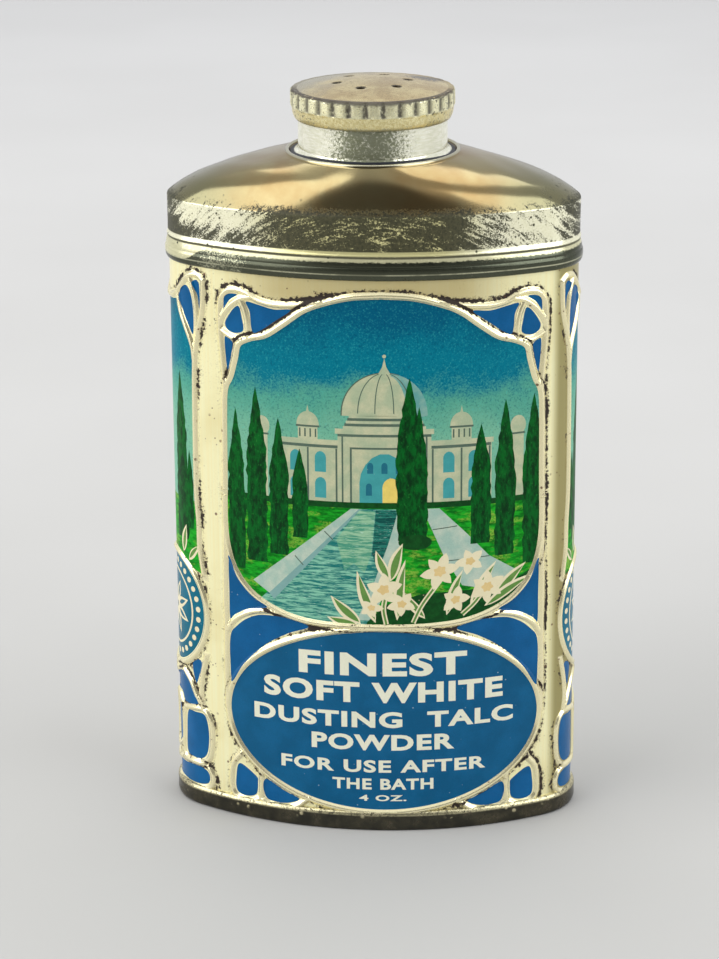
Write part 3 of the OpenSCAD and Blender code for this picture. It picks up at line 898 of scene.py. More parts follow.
def enamel_look(name, colour):
    """Deep blue ink under varnish, with faint wear."""
    look = Look(name, 0.26)
    cloud = look.noise(0.25)
    look.colour(colour, (cloud.ramp(0.35, 0.7, 0, 0.6), scaled(colour, 1.35, 0.004)),
                (look.noise(5.0, 2.0, 0.8).ramp(0.4, 0.7, 0, 0.22), scaled(colour, 0.6)),
                (specks(look, 0.7, 0.09, 1.4) * 0.8, (150, 180, 190)))
    look.varnish(0.16, 0.06, 0.1)
    look.bump(cloud, 0.1, 0.03)
    return look.mat


def cypress_look(name):
    """Dark foliage in upright strokes, with lighter sprigs."""
    look = Look(name)
    leaves = look.noise(1.0, 4.0, 0.7, look.stretched(1.3, 1.3, 0.5))
    fine = look.noise(1.0, 2.0, 0.7, look.stretched(4, 4, 2))
    look.colour((0, 46, 16), (leaves.ramp(0.35, 0.65), (0, 94, 30)),
                (fine.ramp(0.6, 0.72, 0, 0.5), (40, 136, 50)))
    look.varnish(0.1, 0.03, 0.15)
    return look.mat


def lawn_look(name):
    """Mown grass with sunlit yellow-green patches and dark shade, in short strokes."""
    look = Look(name)
    tufts = look.noise(1.0, 4.0, 0.7, look.stretched(0.5, 0.5, 1.6))
    fine = look.noise(1.0, 3.0, 0.8, look.stretched(2.2, 2.2, 4.0))
    sunny = look.noise(1.0, 3.0, 0.6, look.stretched(0.22, 0.22, 0.5))
    look.colour((0, 102, 18), (tufts.ramp(0.36, 0.64), (26, 164, 36)),
                (sunny.ramp(0.5, 0.62) * fine.ramp(0.38, 0.58) * 0.85, (134, 176, 62)))
    look.varnish(0.1, 0.03, 0.15)
    return look.mat


def water_look(name, deep, light):
    """Still water: level ripples, and thin bright glints."""
    look = Look(name, 0.3)
    waves = look.noise(1.0, 3.0, 0.7, look.stretched(0.35, 0.35, 3.2))
    fine = look.noise(1.0, 2.0, 0.7, look.stretched(1.2, 1.2, 7.0))
    look.colour(deep, (waves.ramp(0.4, 0.62), light), (fine.ramp(0.6, 0.72, 0, 0.6), (190, 220, 205)))
    look.varnish(0.12, 0.04, 0.12)
    return look.mat


def stone_look(name, colour, second):
    """Ink that is mottled with its second colour."""
    return ink_look(name, colour, second, 0.16, 0.8, 0.45)


# For each group of the design: the function that makes its look, and what it is called with
PRINT_LOOKS = {
    "gold": (gold_look,),
    "enamel": (enamel_look, "blue_enamel", (0, 84, 136)),
    "cartouche": (enamel_look, "deep_blue_enamel", (0, 83, 124)),
    "enamel_medal": (enamel_look, "teal_blue_enamel", (0, 96, 120)),
    "sky": (sky_look, "printed_sky"),
    "sky_side": (sky_look, "printed_sky_side"),
    "stone": (stone_look, "printed_stone", (168, 182, 150), (202, 200, 164)),
    "stone_shade": (ink_look, "printed_stone_lines", (84, 104, 90), None, 0.3),
    "stone_cool": (stone_look, "printed_stone_shadow", (96, 158, 154), (150, 182, 164)),
    "glaze": (ink_look, "printed_windows", (62, 150, 152)),
    "glaze_dark": (ink_look, "printed_window_lines", (30, 104, 124)),
    "lamp": (ink_look, "printed_doorway", (224, 200, 104)),
    "lawn": (lawn_look, "printed_lawn"),
    "lawn_side": (lawn_look, "printed_lawn_side"),
    "hedge": (ink_look, "printed_hedge", (2, 60, 18), (16, 104, 36), 0.12, 0.35, 1.2),
    "water": (water_look, "printed_water", (26, 112, 108), (132, 194, 166)),
    "mirror_stone": (water_look, "printed_reflection", (70, 146, 120), (150, 192, 156)),
    "mirror_glaze": (water_look, "printed_reflection_dark", (4, 70, 66), (40, 124, 108)),
    "path": (stone_look, "printed_path", (158, 188, 174), (196, 206, 188)),
    "path_edge": (ink_look, "printed_path_edge", (120, 160, 156)),
    "cypress": (cypress_look, "printed_cypress"),
    "cypress_side": (cypress_look, "printed_cypress_side"),
    "lily": (ink_look, "printed_lilies", (226, 216, 180), (236, 230, 200), 0.08),
    "leaf": (ink_look, "printed_leaves", (92, 136, 66), (130, 164, 84), 0.12, 0.35, 1.0),
    "lily_core": (ink_look, "printed_lily_hearts", (222, 196, 138), (206, 176, 110)),
    "lettering": (ink_look, "printed_lettering", (226, 226, 204), (236, 236, 216), 0.1),
}


# ---------------------------------------------------------------- the printed body
def rib_height(points):
    """Height of the embossing and its slope at each point of the flat design."""
    d, away = nearest(points, [rib[0] for rib in RIBS])
    swell = np.clip(1 - (d / RIB_W) ** 2, 0, 1)
    steep = np.where(swell > 0, -4 * RIB_H / RIB_W ** 2 * d * swell, 0)
    return RIB_H * swell ** 2, away * steep[:, None]


def grime_strength(points):
    """How dirty the valley beside a rib is: it falls to 0 within half a millimetre."""
    total = np.zeros(len(points))
    for weight in sorted({rib[2] for rib in RIBS if rib[1]}):
        lines = [offset_path(line_path(path, 0.3), side * (RIB_W + 0.1))
                 for path, side, dark in RIBS if side and dark == weight]
        total = np.maximum(total, weight * np.clip(1 - nearest(points, lines, 0.2)[0] / 0.5, 0, 1))
    x, z = points[:, 0], points[:, 1]
    rubbed = (np.clip((x + 27.4) / 0.6, 0, 1) * np.clip((-24 - x) / 0.5, 0, 1)
              * np.clip((z - 38) / 2, 0, 1) * np.clip((81.5 - z) / 2, 0, 1))
    return total * (1 - 0.75 * rubbed)


def sheet_normals(nx, ny, slope):
    """Surface directions of the sheet: the oval's own, tipped by the slope of the embossing."""
    tipped = np.stack([nx + slope[:, 0] * ny, ny - slope[:, 0] * nx, -slope[:, 1]], 1)
    return tipped / np.linalg.norm(tipped, axis=1)[:, None]


def make_body():
    """The printed sheet, front and back: one piece for each group of the design."""
    looks = {}
    flat, tris, label, names = cut_sheet()
    height, slope = rib_height(flat)
    dirt = grime_strength(flat)
    x, y, nx, ny = oval(flat[:, 0] + ART_SHIFT, height)
    verts = np.stack([x, y, flat[:, 1]], 1)
    normals = sheet_normals(nx, ny, slope)
    for side, spin in (("front", np.array([1, 1, 1])), ("back", np.array([-1, -1, 1]))):
        for k, group in enumerate(names):
            mine = tris[label == k]
            if not len(mine):
                continue
            used, index = np.unique(mine, return_inverse=True)
            if group not in looks:
                maker, *given = PRINT_LOOKS[group]
                looks[group] = maker(*given)
            piece = new_object(f"{group}_{side}", verts[used] * spin, index.reshape(-1, 3),
                               looks[group], normals=normals[used] * spin)
            if group == "gold":
                set_attribute(piece, "grime", dirt[used])
                set_attribute(piece, "rib", height[used] / RIB_H)
                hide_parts("body_shell")


make_body()


# ---------------------------------------------------------------- looks of the metal parts
def streaks(look, x, z, across, along):
    """Noise drawn out along arcs round the point where x and z are 0."""
    reach = (x * x + z * z).calc("SQRT")
    spot = look.field("ShaderNodeCombineXYZ", 0, {0: reach * across, 1: x.calc("ARCTAN2", z) * along,
                                                  2: look.axis("Y") * 0.1})
    return look.noise(1.0, 5.0, 0.72, spot, 0.3)


def shoulder_look():
    """Gold lacquer: tan dome; cream skirt with dark streaks of tarnish, a painted highlight towards its
    ends and painted shade in its middle; painted highlights on the lip and seam, and painted shade on the
    seam's roll.
    """
    look = Look("shoulder_lacquer")
    x, z = map(look.axis, "XZ")
    out_x = abs(x)
    cloud = look.noise(0.12, 4.0)
    fine = look.noise(2.4, 4.0, 0.75)
    grit = look.noise(4.0, 4.0, 0.8)
    dome = look.layers((154, 142, 104), (cloud.ramp(0.35, 0.68), (144, 122, 82)),
                       (out_x.ramp(14, 26, 0, 0.9), (126, 124, 96)))
    # The skirt is painted lighter towards its ends as a painted highlight
    skirt = look.layers((226, 220, 160), (out_x.ramp(10, 20), (255, 253, 224)),
                        (grit.ramp(0.35, 0.7, 0, 0.4), (214, 208, 158)))
    on_skirt = z.ramp(SKIRT_TOP - 0.4, SKIRT_TOP - 0.1, 1, 0)

    # The seam: its roll is painted near-black as painted shade, lower at the left end, with rubbed
    # places; the band above the roll is painted pale cream as a painted highlight
    roll_top = x.ramp(-27.5, -24, BEAD_Z + 1.0, BEAD_Z + 2.75) + fine.ramp(0.3, 0.7, -0.12, 0.12)
    roll = (z - roll_top).ramp(-0.12, 0.12, 1, 0)
    scuffed = (grit + abs(x + 21.5).ramp(2, 6, 0.08, -0.08)).ramp(0.58, 0.64)
    # A painted highlight line along the roll
    edge = z.ramp(BEAD_Z + 0.82, BEAD_Z + 0.92) * z.ramp(BEAD_Z + 1.12, BEAD_Z + 1.0)
    highlight_and_scuffs = (edge * cloud.ramp(0.4, 0.5, 0.45, 1)).most(scuffed)
    black = look.layers((82, 86, 72), (highlight_and_scuffs, (196, 196, 168)))
    # The dome's lip above the seat is painted pale grey as a painted highlight
    base = look.layers(dome, (on_skirt, skirt), (z.ramp(SEAT_Z + 0.1, SEAT_Z + 0.25), (188, 184, 160)),
                       (z.ramp(SEAM_TOP + 0.1, SEAM_TOP - 0.1), (232, 228, 186)), (roll, black))

    # Tarnish: a fan of streaks, thicker at the far ends and low on the left, and thicker in the middle,
    # where it is partly painted shade
    fan = streaks(look, x - 2.0, z - (SKIRT_TOP - 27), 1.5, 7.0)
    low_left = x.ramp(-12, -19) * z.ramp(SKIRT_TOP - 2.2, SKIRT_TOP - 4.2)
    wear_and_middle_shade = (abs(x - 1.0).ramp(11, 22, 0.2, -0.04) + out_x.ramp(26.0, 29.5, 0, 0.17) + low_left * 0.2
            + look.noise(0.2, 2.0).ramp(0.35, 0.65, -0.04, 0.04) + grit.ramp(0.3, 0.7, -0.15, 0.15))
    below = (z + fine.ramp(0.3, 0.7, -0.5, 0.5)).ramp(SKIRT_TOP + 0.1, SKIRT_TOP + 0.9, 1, 0)
    rubbed = z.ramp(SEAM_TOP - 0.02, SEAM_TOP + 0.08) * z.ramp(SEAM_TOP + 0.75, SEAM_TOP + 0.55)
    band = z.ramp(SEAM_TOP + 0.05, SEAM_TOP - 0.2) * 0.75
    dark = (fan + wear_and_middle_shade).ramp(0.54, 0.6) * below * (1.0 - rubbed * 0.85) * (1.0 - band)
    dots = specks(look, 0.9, 0.24, 0.6) * z.ramp(SKIRT_TOP + 3, SKIRT_TOP - 1)
    corner = (look.noise(0.6, 4.0, 0.7).ramp(0.56, 0.62) * out_x.ramp(24, 27)
              * z.ramp(SKIRT_TOP - 1, SKIRT_TOP + 0.3))
    # Painted shade: a dark line in the crease under the skirt's lower edge
    groove = z.ramp(SEAM_TOP + 0.02, SEAM_TOP - 0.08) * z.ramp(SEAM_TOP - 0.5, SEAM_TOP - 0.3, 0, 0.9)
    marks = dark.most(dots).most(corner, clamp=True).most(groove, clamp=True)

    look.colour(base, (marks * 0.96, look.layers((32, 34, 22), (fine.ramp(0.35, 0.65), (66, 65, 42)))))
    look.metal(look.blend(marks, 0.92 - on_skirt * (1.0 - roll) * 0.5, 0.35))
    look.rough((marks * 0.6 + cloud * 0.3).ramp(0, 0.9, 0.14, 0.55))
    look.bump(grit * 0.3 - marks, 0.15, 0.02)
    return look.mat


def neck_look():
    """Bright tin with a greenish speckled patch at the front, partly painted shade, and a painted shadow
    at its foot.
    """
    look = Look("bright_tin")
    x, y, z = map(look.axis, "XYZ")
    fine = look.noise(2.6, 5.0, 0.78)
    brushed = look.noise(1.0, 3.0, 0.6, look.stretched(0.6, 0.6, 4.0))
    # The speckled tarnish is denser at the front middle, where it is partly painted shade
    speck = (fine + abs(x - 0.2).ramp(1.5, 9.0, 0.22, -0.06)).ramp(0.56, 0.68) * y.ramp(2, -4, 0.35, 1)
    # Painted shadow: a dark ring at the neck's foot, taller at the front
    foot = (z + fine.ramp(0.3, 0.7, -0.03, 0.03)).ramp(
        y.ramp(-3, -10, SEAT_Z + 0.2, SEAT_Z + 0.5), y.ramp(-3, -10, SEAT_Z + 0.13, SEAT_Z + 0.42))
    look.colour((234, 234, 210), (brushed.ramp(0.35, 0.65), (255, 254, 238)),
                (speck * 0.85, (84, 90, 58)), (foot, (30, 34, 44)))
    look.metal(foot.ramp(0, 1, 0.7, 0.3))
    look.rough(speck.most(foot).ramp(0, 1, 0.22, 0.5))
    look.bump(fine * 0.5 - speck, 0.2, 0.02)
    return look.mat


def cap_look():
    """Gold lacquer, rubbed to cream on the knurls, grey patina on the disc, brown in the grooves, and
    painted shade on the middle knurls.
    """
    look = Look("cap_lacquer_worn")
    x, y, z = map(look.axis, "XYZ")
    groove = look.attribute("groove")
    cloud = look.noise(0.22, 4.0, 0.65)
    fine = look.noise(2.2, 5.0, 0.75)
    grit = look.noise(5.0, 3.0, 0.8)
    middle = abs(x - 0.5)

    # The disc, with its grey patina towards the back left and its dark patch at the back right
    grey = (cloud * 16 + (y * 0.5 - x)).ramp(9, 20, 0, 0.8)
    patch_x, patch_y = x - 7.6, y - 5.6
    patch = patch_x * patch_x + patch_y * patch_y + fine.ramp(0.3, 0.7, -9, 9)
    disc = look.layers((198, 182, 136), (cloud.ramp(0.4, 0.62), (174, 154, 112)), (grey, (158, 156, 140)),
                       (fine.ramp(0.56, 0.68, 0, 0.75), (96, 78, 54)),
                       (patch.ramp(10, 3, 0, 0.9), (44, 40, 36)))
    knurl = look.layers((255, 252, 214), (grit.ramp(0.4, 0.7, 0, 0.5), (236, 224, 160)),
                        (fine.ramp(0.58, 0.66, 0, 0.8), (120, 106, 62)))
    edge = look.layers((242, 232, 180), (fine.ramp(0.4, 0.65), (206, 190, 132)))

    # Dirt: in the knurls' grooves, in a ragged line round the top edge, and on the turned-in edge;
    # painted shade darkens the knurls in the middle
    low = (z + fine.ramp(0.3, 0.7, -0.5, 0.5)).ramp(CAP_TOP - 3.9, CAP_TOP - 4.3)
    reach = (x * x + y * y).calc("SQRT")
    ragged = middle.ramp(2, 9, 1.1, 0.4) + fine.ramp(0.3, 0.7, -0.36, 0.36)
    rim = ((CAP_TOP - z).ramp(ragged, 0.2) * reach.ramp(CAP_R - 1.15, CAP_R - 0.9)
           * y.ramp(2, -3, 0.45, 1))
    wear_and_middle_shade = groove ** 0.6 + middle.ramp(2, 7.5, 0.25, 0) * fine.ramp(0.35, 0.6)
    pit = wear_and_middle_shade.calc("MULTIPLY", fine.ramp(0.3, 0.5, 0.5, 1), clamp=True)
    pit = pit * z.ramp(CAP_TOP - 2.5, CAP_TOP - 2.3)
    dark = pit.most(rim).most(low * 0.6, clamp=True)

    look.colour(knurl, (z.ramp(CAP_TOP - 0.22, CAP_TOP - 0.05), disc),
                (z.ramp(CAP_TOP - 2.3, CAP_TOP - 2.5), edge), (dark * 0.92, (26, 16, 12)))
    look.metal(dark.ramp(0, 1, 0.74, 0.0))
    look.rough(dark.most(fine * 0.6).ramp(0, 1, 0.2, 0.6))
    look.bump(fine * 0.5 - dark, 0.25, 0.03)
    return look.mat


def dark_tin_look():
    """Darkened steel with rust, brighter where the rim has been rubbed."""
    look = Look("dark_tin")
    z = look.axis("Z")
    cloud = look.noise(0.3, 4.0, 0.65)
    fine = look.noise(2.2, 5.0, 0.78)
    rust = (fine + cloud.ramp(0.3, 0.7, -0.12, 0.12)).ramp(0.6, 0.7)
    look.colour((58, 57, 50), (cloud.ramp(0.35, 0.65), (84, 80, 66)),
                (z.ramp(2.3, 2.65) * fine.ramp(0.36, 0.52), (206, 198, 160)), (rust * 0.85, (58, 46, 32)),
                (specks(look, 0.8, 0.34, 0.9) * z.ramp(1.2, 2.0), (216, 206, 168)))
    look.metal(rust.ramp(0, 1, 0.85, 0.1))
    look.rough(rust.ramp(0, 1, 0.26, 0.7))
    look.bump(fine - rust, 0.3, 0.03)
    return look.mat


def lining_look():
    """Plain tinplate inside the tin."""
    look = Look("tinplate", 0.35, 0.95)
    fine = look.noise(0.8, 4.0, 0.7)
    look.colour((186, 186, 178), (fine.ramp(0.35, 0.7), (140, 138, 128)))
    look.bump(fine, 0.15, 0.02)
    return look.mat


def waxed_paper_look():
    """Yellowed waxed board."""
    look = Look("waxed_board", 0.6)
    fibres = look.noise(1.0, 5.0, 0.75, look.stretched(3.0, 0.6, 1.0, (0, 0, 0.6)))
    look.colour((196, 168, 118), (fibres.ramp(0.35, 0.65), (160, 130, 84)))
    look.bump(fibres, 0.3, 0.02)
    return look.mat


# ---------------------------------------------------------------- metal parts
def around(flank=42, end=60):
    """Arc lengths once round the oval, from the middle of the back, closer on the tight ends."""
    half = np.concatenate([np.linspace(0, FLANK_LEN, flank, endpoint=False),
                           np.linspace(FLANK_LEN, FLANK_LEN + END_LEN, end, endpoint=False),
                           np.linspace(FLANK_LEN + END_LEN, ROUND / 2, flank, endpoint=False)])
    return np.concatenate([half - ROUND / 2, half])


def loft_ring(t, r, n, z, u):
    """Ring that is a circle of radius r at t = 0 and the oval grown by n at t = 1."""
    x, y, _, _ = oval(u, n)
    c = np.arctan2(y / HALF_D, x / HALF_W)
    return np.stack([(1 - t) * r * np.cos(c) + t * x, (1 - t) * r * np.sin(c) + t * y,
                     np.full(len(u), z)], 1)


def weld(obj):
    """Joins points that coincide and turns every face outwards."""
    bm = bmesh.new()
    bm.from_mesh(obj.data)
    bmesh.ops.remove_doubles(bm, verts=bm.verts, dist=0.002 * MM)
    bmesh.ops.recalc_face_normals(bm, faces=bm.faces)
    bm.to_mesh(obj.data)
    bm.free()


def closed_loft(name, rings, material):
    """Closed shell through rings of points that come back to the first one."""
    faces = grid_faces(len(rings), len(rings[0]), wrap_rows=True)
    piece = new_object(name, np.concatenate(rings), faces, material)
    weld(piece)
    return piece


def ripple(points, size=0.03):
    """Slight unevenness of hand-worked sheet, as an outward shift in millimetres."""
    x, y, z = points[:, 0], points[:, 1], points[:, 2]
    return size * (np.sin(0.31 * x + 0.5 * z) * np.cos(0.43 * y - 0.2 * x)
                   + 0.5 * np.sin(0.83 * x + 0.9 * y + 0.4 * z))


# The rolled seam under the skirt, as (distance out, height above its lower edge): a sloping band
# over a small roll
SEAM_PROFILE = [(0.1, 3.4), (0.21, 3.2), (0.31, 2.9), (0.38, 2.6), (0.43, 2.3), (0.45, 2.1), (0.44, 2.0),
                (0.49, 1.92), (0.55, 1.8), (0.59, 1.6), (0.6, 1.3), (0.6, 1.0), (0.57, 0.7), (0.5, 0.42),
                (0.4, 0.2), (0.25, 0.05), (0.1, 0.0)]
LIP_R = 12.9
LIP_W = 0.6
DOME_RISE = SEAT_Z - SKIRT_TOP
CREASE = 0.35
SHEET = 0.3


def dome_height(t, rise=DOME_RISE):
    """How far the dome has fallen at t, from 0 at the lip to 1 at the skirt."""
    return rise * (0.64 * t + 0.36 * t ** 4)


def make_shoulder():
    """Lip, dome, skirt and rolled seam, as one closed shell of sheet."""
    u = around()
    rings = [loft_ring(0, r, 0, z, u) for r, z in
             ((NECK_R + 0.05, SEAT_Z - SHEET), (NECK_R + 0.05, SEAT_Z), (LIP_R - LIP_W - 0.02, SEAT_Z))]
    for a in np.radians(np.arange(180, -1, -15)):
        rings.append(loft_ring(0, LIP_R - LIP_W / 2 + LIP_W / 2 * math.cos(a), 0,
                               SEAT_Z + 0.1 + LIP_W / 2 * math.sin(a), u))
    for t in np.concatenate([np.linspace(0.01, 0.9, 34), np.linspace(0.915, 0.985, 8)]):
        ring = loft_ring(t, LIP_R, SKIRT_OUT - CREASE / 2 * t ** 8, SEAT_Z - dome_height(t), u)
        ring[:, 2] += ripple(ring, 0.05) * math.sin(math.pi * t) ** 0.5
        rings.append(ring)
    skirt = [(SKIRT_OUT - 0.1, SKIRT_TOP - 0.08), (SKIRT_OUT - 0.03, SKIRT_TOP - 0.22)]
    skirt += [(SKIRT_OUT, SKIRT_TOP - CREASE - k) for k in np.arange(0, 5.2, 0.4)]
    skirt += [(SKIRT_OUT + 0.02, SEAM_TOP + 0.3), (SKIRT_OUT + 0.12, SEAM_TOP + 0.2),
              (SKIRT_OUT + 0.17, SEAM_TOP + 0.08), (SKIRT_OUT + 0.15, SEAM_TOP - 0.04),
              (SKIRT_OUT + 0.05, SEAM_TOP - 0.12)]
    seam = [(out, BEAD_Z + up) for out, up in SEAM_PROFILE]
    under = [(0.06, BEAD_Z + 0.1), (0.06, SEAM_TOP - SHEET), (SKIRT_OUT - SHEET, SEAM_TOP - SHEET)]
    for n, z in skirt + seam + under:
        ring = loft_ring(1, 0, n, z, u)
        if (n, z) in skirt:
            ring = loft_ring(1, 0, n + ripple(ring, 0.018), z, u)
        rings.append(ring)
    for t in (1, 0.85, 0.65, 0.45, 0.2, 0):
        under_z = SEAT_Z - SHEET - dome_height(t, DOME_RISE - 0.1)
        rings.append(loft_ring(t, LIP_R, SKIRT_OUT - SHEET, under_z, u))
    piece = closed_loft("shoulder", rings, shoulder_look())
    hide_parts("shoulder_dome")


def turned_ring(a, r, z):
    """Level ring of points at angles a and radius r, which may vary round the ring."""
    return np.stack([r * np.cos(a), r * np.sin(a), np.full(len(a), z)], 1)


def revolve_rings(profile, count, wobble=0.0):
    """Rings of a turned shape from (radius, height) pairs."""
    a = np.linspace(0, 2 * np.pi, count, endpoint=False)
    return [turned_ring(a, r + wobble * (np.sin(3 * a + 0.7 * z) + 0.6 * np.sin(7 * a - 1.3 * z)), z)
            for r, z in profile]


def make_neck(material):
    """Short upright neck with its flange below and its curl on top."""
    top = NECK[1][2] / MM
    curl_r, curl_x = 0.35, NECK_R + 0.15
    outer = [(NECK_R + 1.38, SEAT_Z - 0.6), (NECK_R + 1.38, SEAT_Z - 0.32),
             (NECK_R + 0.02, SEAT_Z - 0.31)]
    outer += [(NECK_R - 0.01, z) for z in np.linspace(SEAT_Z - 0.2, top - 0.72, 16)]
    curl = [(curl_x + curl_r * math.cos(a), top - curl_r + curl_r * math.sin(a))
            for a in np.radians(np.arange(-100, 181, 20))]
    inner = [(NECK_R - 0.3, top - 0.5), (NECK_R - 0.3, SEAT_Z - 0.6)]
    rings = revolve_rings(outer[:3], 144) + revolve_rings(outer[3:], 144, 0.012)
    piece = closed_loft("neck", rings + revolve_rings(curl + inner, 144), material)
    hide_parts("neck_collar")


def make_solder(material):
    """Fillet that flares from the neck to the inside of the dome's lip."""
    foot = SOLDER[1][0] / MM - 0.02
    rise = 0.75
    reach = foot - NECK_R
    cove = [(foot - reach * math.sin(a), SEAT_Z + 0.04 + rise * (1 - math.cos(a)))
            for a in np.radians(np.arange(0, 91, 9))]
    base = [(NECK_R + 0.005, SEAT_Z + 0.005), (foot, SEAT_Z + 0.005)]
    piece = closed_loft("solder", revolve_rings(cove + base, 144, 0.008), material)
    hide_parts("neck_solder")


# The cap: its turned-in lower edge as (out from the neck, up from the cap's foot), its knurls, the
# rounding of its top edge, where its disc begins, and its powder holes in their shallow dishes
CAP_EDGE = [(0.2, 0), (0.42, 0.08), (0.6, 0.35), (0.76, 0.8), (0.85, 1.3), (0.88, 1.7)]
KNURLS = 30
GROOVE_DEPTH = 0.3
GROOVE_WIDTH = 0.42
ROUNDING = 0.45
DISC_IN = 0.85
HOLES = 6
HOLE_RING = 5.3
HOLE_R = 0.6
HOLE_CENTRES = ellipse(0, 0, HOLE_RING, HOLE_RING, HOLES, 16)
DISH = 0.28
CROWN = 1.2


def hole_gap(points):
    """Distance from each point to the middle of the nearest powder hole."""
    return np.min([np.hypot(points[:, 0] - cx, points[:, 1] - cy) for cx, cy in HOLE_CENTRES], axis=0)


def disc_mesh(rim, z, dip):
    """Disc inside a ring of points, with the dished powder holes cut out, as points and triangles."""
    rings = [rim[:, :2]]
    for cx, cy in HOLE_CENTRES:
        rings += [ellipse(cx, cy, r, r, 24) for r in (HOLE_R, HOLE_R + 0.1, HOLE_R + DISH)]
    edges, start = [], 0
    for ring in rings:
        n = len(ring)
        edges += [(start + i, start + (i + 1) % n) for i in range(n)]
        start += n
    edge_r = np.linalg.norm(rim[0, :2])
    for r in np.arange(0.7, edge_r - 0.3, 0.7):
        rings.append(ellipse(0, 0, r, r, max(6, int(2 * np.pi * r / 0.9))))
    flat, tris = triangulated(np.concatenate(rings), edges)
    mid = flat[tris].mean(axis=1)
    tris = tris[(hole_gap(mid) > HOLE_R * 0.97) & (np.hypot(mid[:, 0], mid[:, 1]) < edge_r)]
    height = z - dip * np.clip(1 - (hole_gap(flat) - HOLE_R) / DISH, 0, 1) ** 1.5
    return np.column_stack([flat, height]), tris


def make_cap(material):
    """Knurled wall, turned-in edge and crowned disc with its holes, as one closed shell."""
    cols = KNURLS * 16
    a = np.linspace(0, 2 * np.pi, cols, endpoint=False)
    phase = (a * KNURLS / (2 * np.pi)) % 1 - 0.5
    across = phase * 2 * np.pi * CAP_R / KNURLS
    notch = np.exp(-(across / GROOVE_WIDTH) ** 2)
    low, band_low, top = CAP[0][2] / MM, CAP_TOP - 2.35, CAP_TOP

    # Profiles from bottom to top, as (radius, height, how deep the grooves are cut there)
    outer = [(NECK_R + out, low + up, 0) for out, up in CAP_EDGE]
    outer += [(NECK_R + 0.95, low + 1.88, 0.1), (CAP_R - 0.06, band_low + 0.02, 0.5),
              (CAP_R, band_low + 0.2, 1)]
    outer += [(CAP_R, z, 1) for z in np.linspace(band_low + 0.45, top - 0.5, 6)]
    for b in np.radians(np.arange(10, 91, 10)):
        outer.append((CAP_R - ROUNDING * (1 - math.cos(b)), top - ROUNDING * (1 - math.sin(b)),
                      1 - 0.75 * math.sin(b) ** 3))
    outer += [(CAP_R - 0.62, top - 0.01, 0.1), (CAP_R - DISC_IN, top - 0.03, 0)]
    wall = [(NECK_R + 0.06, low + 0.1, 0), (NECK_R + 0.06, low + 0.3, 0), (NECK_R + 0.6, low + 2.0, 0),
            (NECK_R + 0.6, top - SHEET, 0)]

    def ring(r, z, k):
        return turned_ring(a, r - GROOVE_DEPTH * k * notch + 0.015 * np.sin(5 * a + z), z)

    rings = [ring(*row) for row in outer]
    groove = np.concatenate([notch * min(1, row[2]) for row in outer])
    inner = [ring(*row) for row in wall]
    inner[-1][:, :2] = rings[-1][:, :2]
    rows = inner[::-1] + rings
    verts = np.concatenate(rows)
    groove = np.concatenate([np.zeros(cols * len(inner)), groove])
    faces = grid_faces(len(rows), cols)
    disc_verts, disc_tris = disc_mesh(rings[-1], top - 0.03, 0.12)
    reach = np.hypot(disc_verts[:, 0], disc_verts[:, 1]) / (CAP_R - DISC_IN)
    crown = CROWN * (1 - reach ** 2).clip(0, 1)
    disc_verts[:, 2] += crown
    under = disc_verts.copy()
    under[:, 2] = top - SHEET + crown
    base, count = len(verts), len(disc_verts)
    verts = np.concatenate([verts, disc_verts, under])
    groove = np.concatenate([groove, hole_gap(disc_verts) < HOLE_R + 0.12, np.ones(count)])
    faces += [tuple(base + t) for t in disc_tris]
    faces += [tuple(base + count + t[::-1]) for t in disc_tris]
    for centre in HOLE_CENTRES:
        # The hole's wall, from its edge above to its edge below
        off = disc_verts[:, :2] - centre
        brink = np.nonzero(np.abs(np.hypot(off[:, 0], off[:, 1]) - HOLE_R) < 1e-3)[0]
        loop = brink[np.argsort(np.arctan2(off[brink, 1], off[brink, 0]))]
        for p, q in zip(loop, np.roll(loop, -1)):
            faces.append((base + p, base + count + p, base + count + q, base + q))
    piece = new_object("cap", verts, faces, material, "cap")
    set_attribute(piece, "groove", groove)
    weld(piece)
    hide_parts("sifter_cap")


# The rolled foot seam as (distance out, height), and the stepped panel inside it as (scale, height)
FOOT = [(0.0, 3.12), (0.22, 3.08), (0.42, 2.95), (0.55, 2.72), (0.6, 2.4), (0.58, 1.9), (0.56, 1.4),
        (0.59, 0.9), (0.57, 0.5), (0.45, 0.18), (0.25, 0.02), (0.0, 0.0), (-0.25, 0.03), (-0.5, 0.2),
        (-0.6, 0.5), (-0.62, 1.0), (-0.62, 1.9), (-0.8, 2.2)]
PANEL = [(0.93, 2.2), (0.9, 2.0), (0.87, 1.9), (0.6, 1.9), (0.3, 1.9), (0.02, 1.9),
         (0.02, 2.2), (0.6, 2.2), (0.87, 2.2), (0.9, 2.3), (0.93, 2.5)]


def make_base(material):
    """Rolled foot seam with its sunken, stepped base panel."""
    u = around()
    rings = []
    for n, z in FOOT:
        ring = loft_ring(1, 0, n, z, u)
        rings.append(loft_ring(1, 0, n + ripple(ring, 0.02) * (n > 0.3), z, u))
    last = rings[-1]
    for scale, z in PANEL:
        ring = last * [scale, scale, 0]
        ring[:, 2] = z
        rings.append(ring)
    for n, z in ((-0.36, 2.5), (-0.32, 3.0)):
        rings.append(loft_ring(1, 0, n, z, u))
    piece = closed_loft("foot_and_base", rings, material)
    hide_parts("bottom_end")


def make_lining(material):
    """Inner face of the printed sheet, seen where the tin is open."""
    u = around(24, 36)
    rows = [(-0.3, ART_LOW), (-0.3, ART_HIGH), (-0.2, ART_HIGH), (-0.2, ART_LOW)]
    closed_loft("body_lining", [loft_ring(1, 0, n, z, u) for n, z in rows], material)


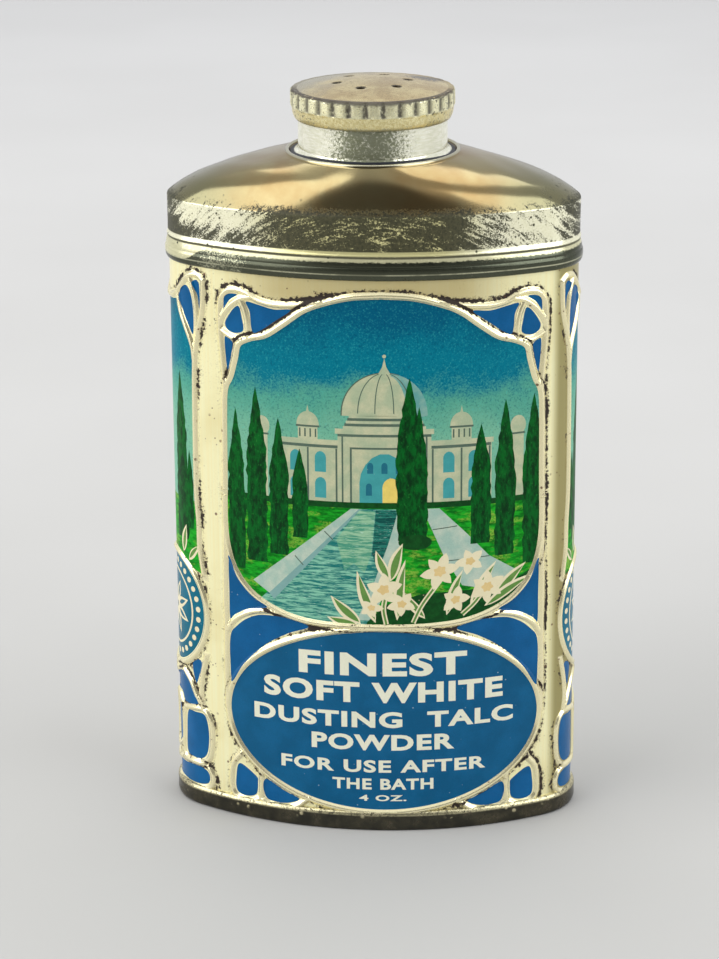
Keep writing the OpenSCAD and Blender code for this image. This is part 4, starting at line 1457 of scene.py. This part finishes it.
def repaint(node, material):
    """Gives a CAD node that stays in view its own procedural look."""
    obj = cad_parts[node]
    if not obj.material_slots:
        obj.data.materials.append(material)
    for slot in obj.material_slots:
        slot.material = material


make_shoulder()
tin_plain, neck_tin = lining_look(), neck_look()
make_neck(neck_tin)
make_solder(neck_tin)
make_cap(cap_look())
make_base(dark_tin_look())
make_lining(tin_plain)
repaint("sifter_plate", tin_plain)
repaint("packing_disc", waxed_paper_look())


# ---------------------------------------------------------------- studio
def make_floor():
    """Pale paper, a little darker towards the front as painted shade, with faint clouding."""
    look = Look("studio_paper", 0.9)
    depth = look.axis("Y") * MM + look.noise(0.006, 3.0, 0.5).ramp(0.3, 0.7, -0.05, 0.05)
    look.colour((134, 133, 128), (depth.ramp(-0.6, 0.7, smooth=False), (207, 207, 207)))
    look.varnish(0.1)
    size = 3.0
    corners = [(-size, -size, 0), (size, -size, 0), (size, size, 0), (-size, size, 0)]
    mesh = bpy.data.meshes.new("floor")
    mesh.from_pydata(corners, [], [(0, 1, 2, 3)])
    floor = bpy.data.objects.new("floor", mesh)
    bpy.context.scene.collection.objects.link(floor)
    mesh.materials.append(look.mat)


def make_light(name, at, aim, width, height, power, colour):
    """Soft rectangular lamp that faces a point."""
    data = bpy.data.lights.new(name, "AREA")
    data.shape = "RECTANGLE"
    data.size = width
    data.size_y = height
    data.energy = power
    data.color = colour
    lamp = bpy.data.objects.new(name, data)
    direction = Vector(aim) - Vector(at)
    lamp.matrix_world = Matrix.Translation(at) @ direction.to_track_quat("-Z", "Y").to_matrix().to_4x4()
    bpy.context.scene.collection.objects.link(lamp)


def make_world():
    """Even white studio that is darker in front, so that the metal shows a dark middle."""
    world = bpy.data.worlds.new("studio")
    world.use_nodes = True
    nodes, links = world.node_tree.nodes, world.node_tree.links
    coords = nodes.new("ShaderNodeTexCoord")
    front = nodes.new("ShaderNodeVectorMath")
    front.operation = "DOT_PRODUCT"
    front.inputs[1].default_value = Vector((0.05, -1, 0.25)).normalized()
    links.new(coords.outputs["Generated"], front.inputs[0])
    share = nodes.new("ShaderNodeMapRange")
    share.interpolation_type = "SMOOTHSTEP"
    for key, value in (("From Min", 0.78), ("From Max", 0.92), ("To Min", 0.74), ("To Max", 0.06)):
        share.inputs[key].default_value = value
    links.new(front.outputs["Value"], share.inputs["Value"])
    links.new(share.outputs[0], nodes["Background"].inputs[1])
    nodes["Background"].inputs[0].default_value = (0.97, 0.98, 1.0, 1)
    bpy.context.scene.world = world


make_floor()
make_light("left_window", (-0.6, -0.34, 0.44), (0, 0, 0.06), 0.85, 0.85, 5.8, (1.0, 0.99, 0.97))
make_light("right_window", (0.62, -0.24, 0.4), (0, 0, 0.06), 0.6, 0.7, 3.4, (0.98, 0.99, 1.0))
make_light("top_panel", (0.0, 0.25, 0.85), (0, 0, 0.05), 0.8, 0.8, 4.5, (1.0, 0.99, 0.98))
make_world()
bpy.context.scene.view_settings.view_transform = "Standard"
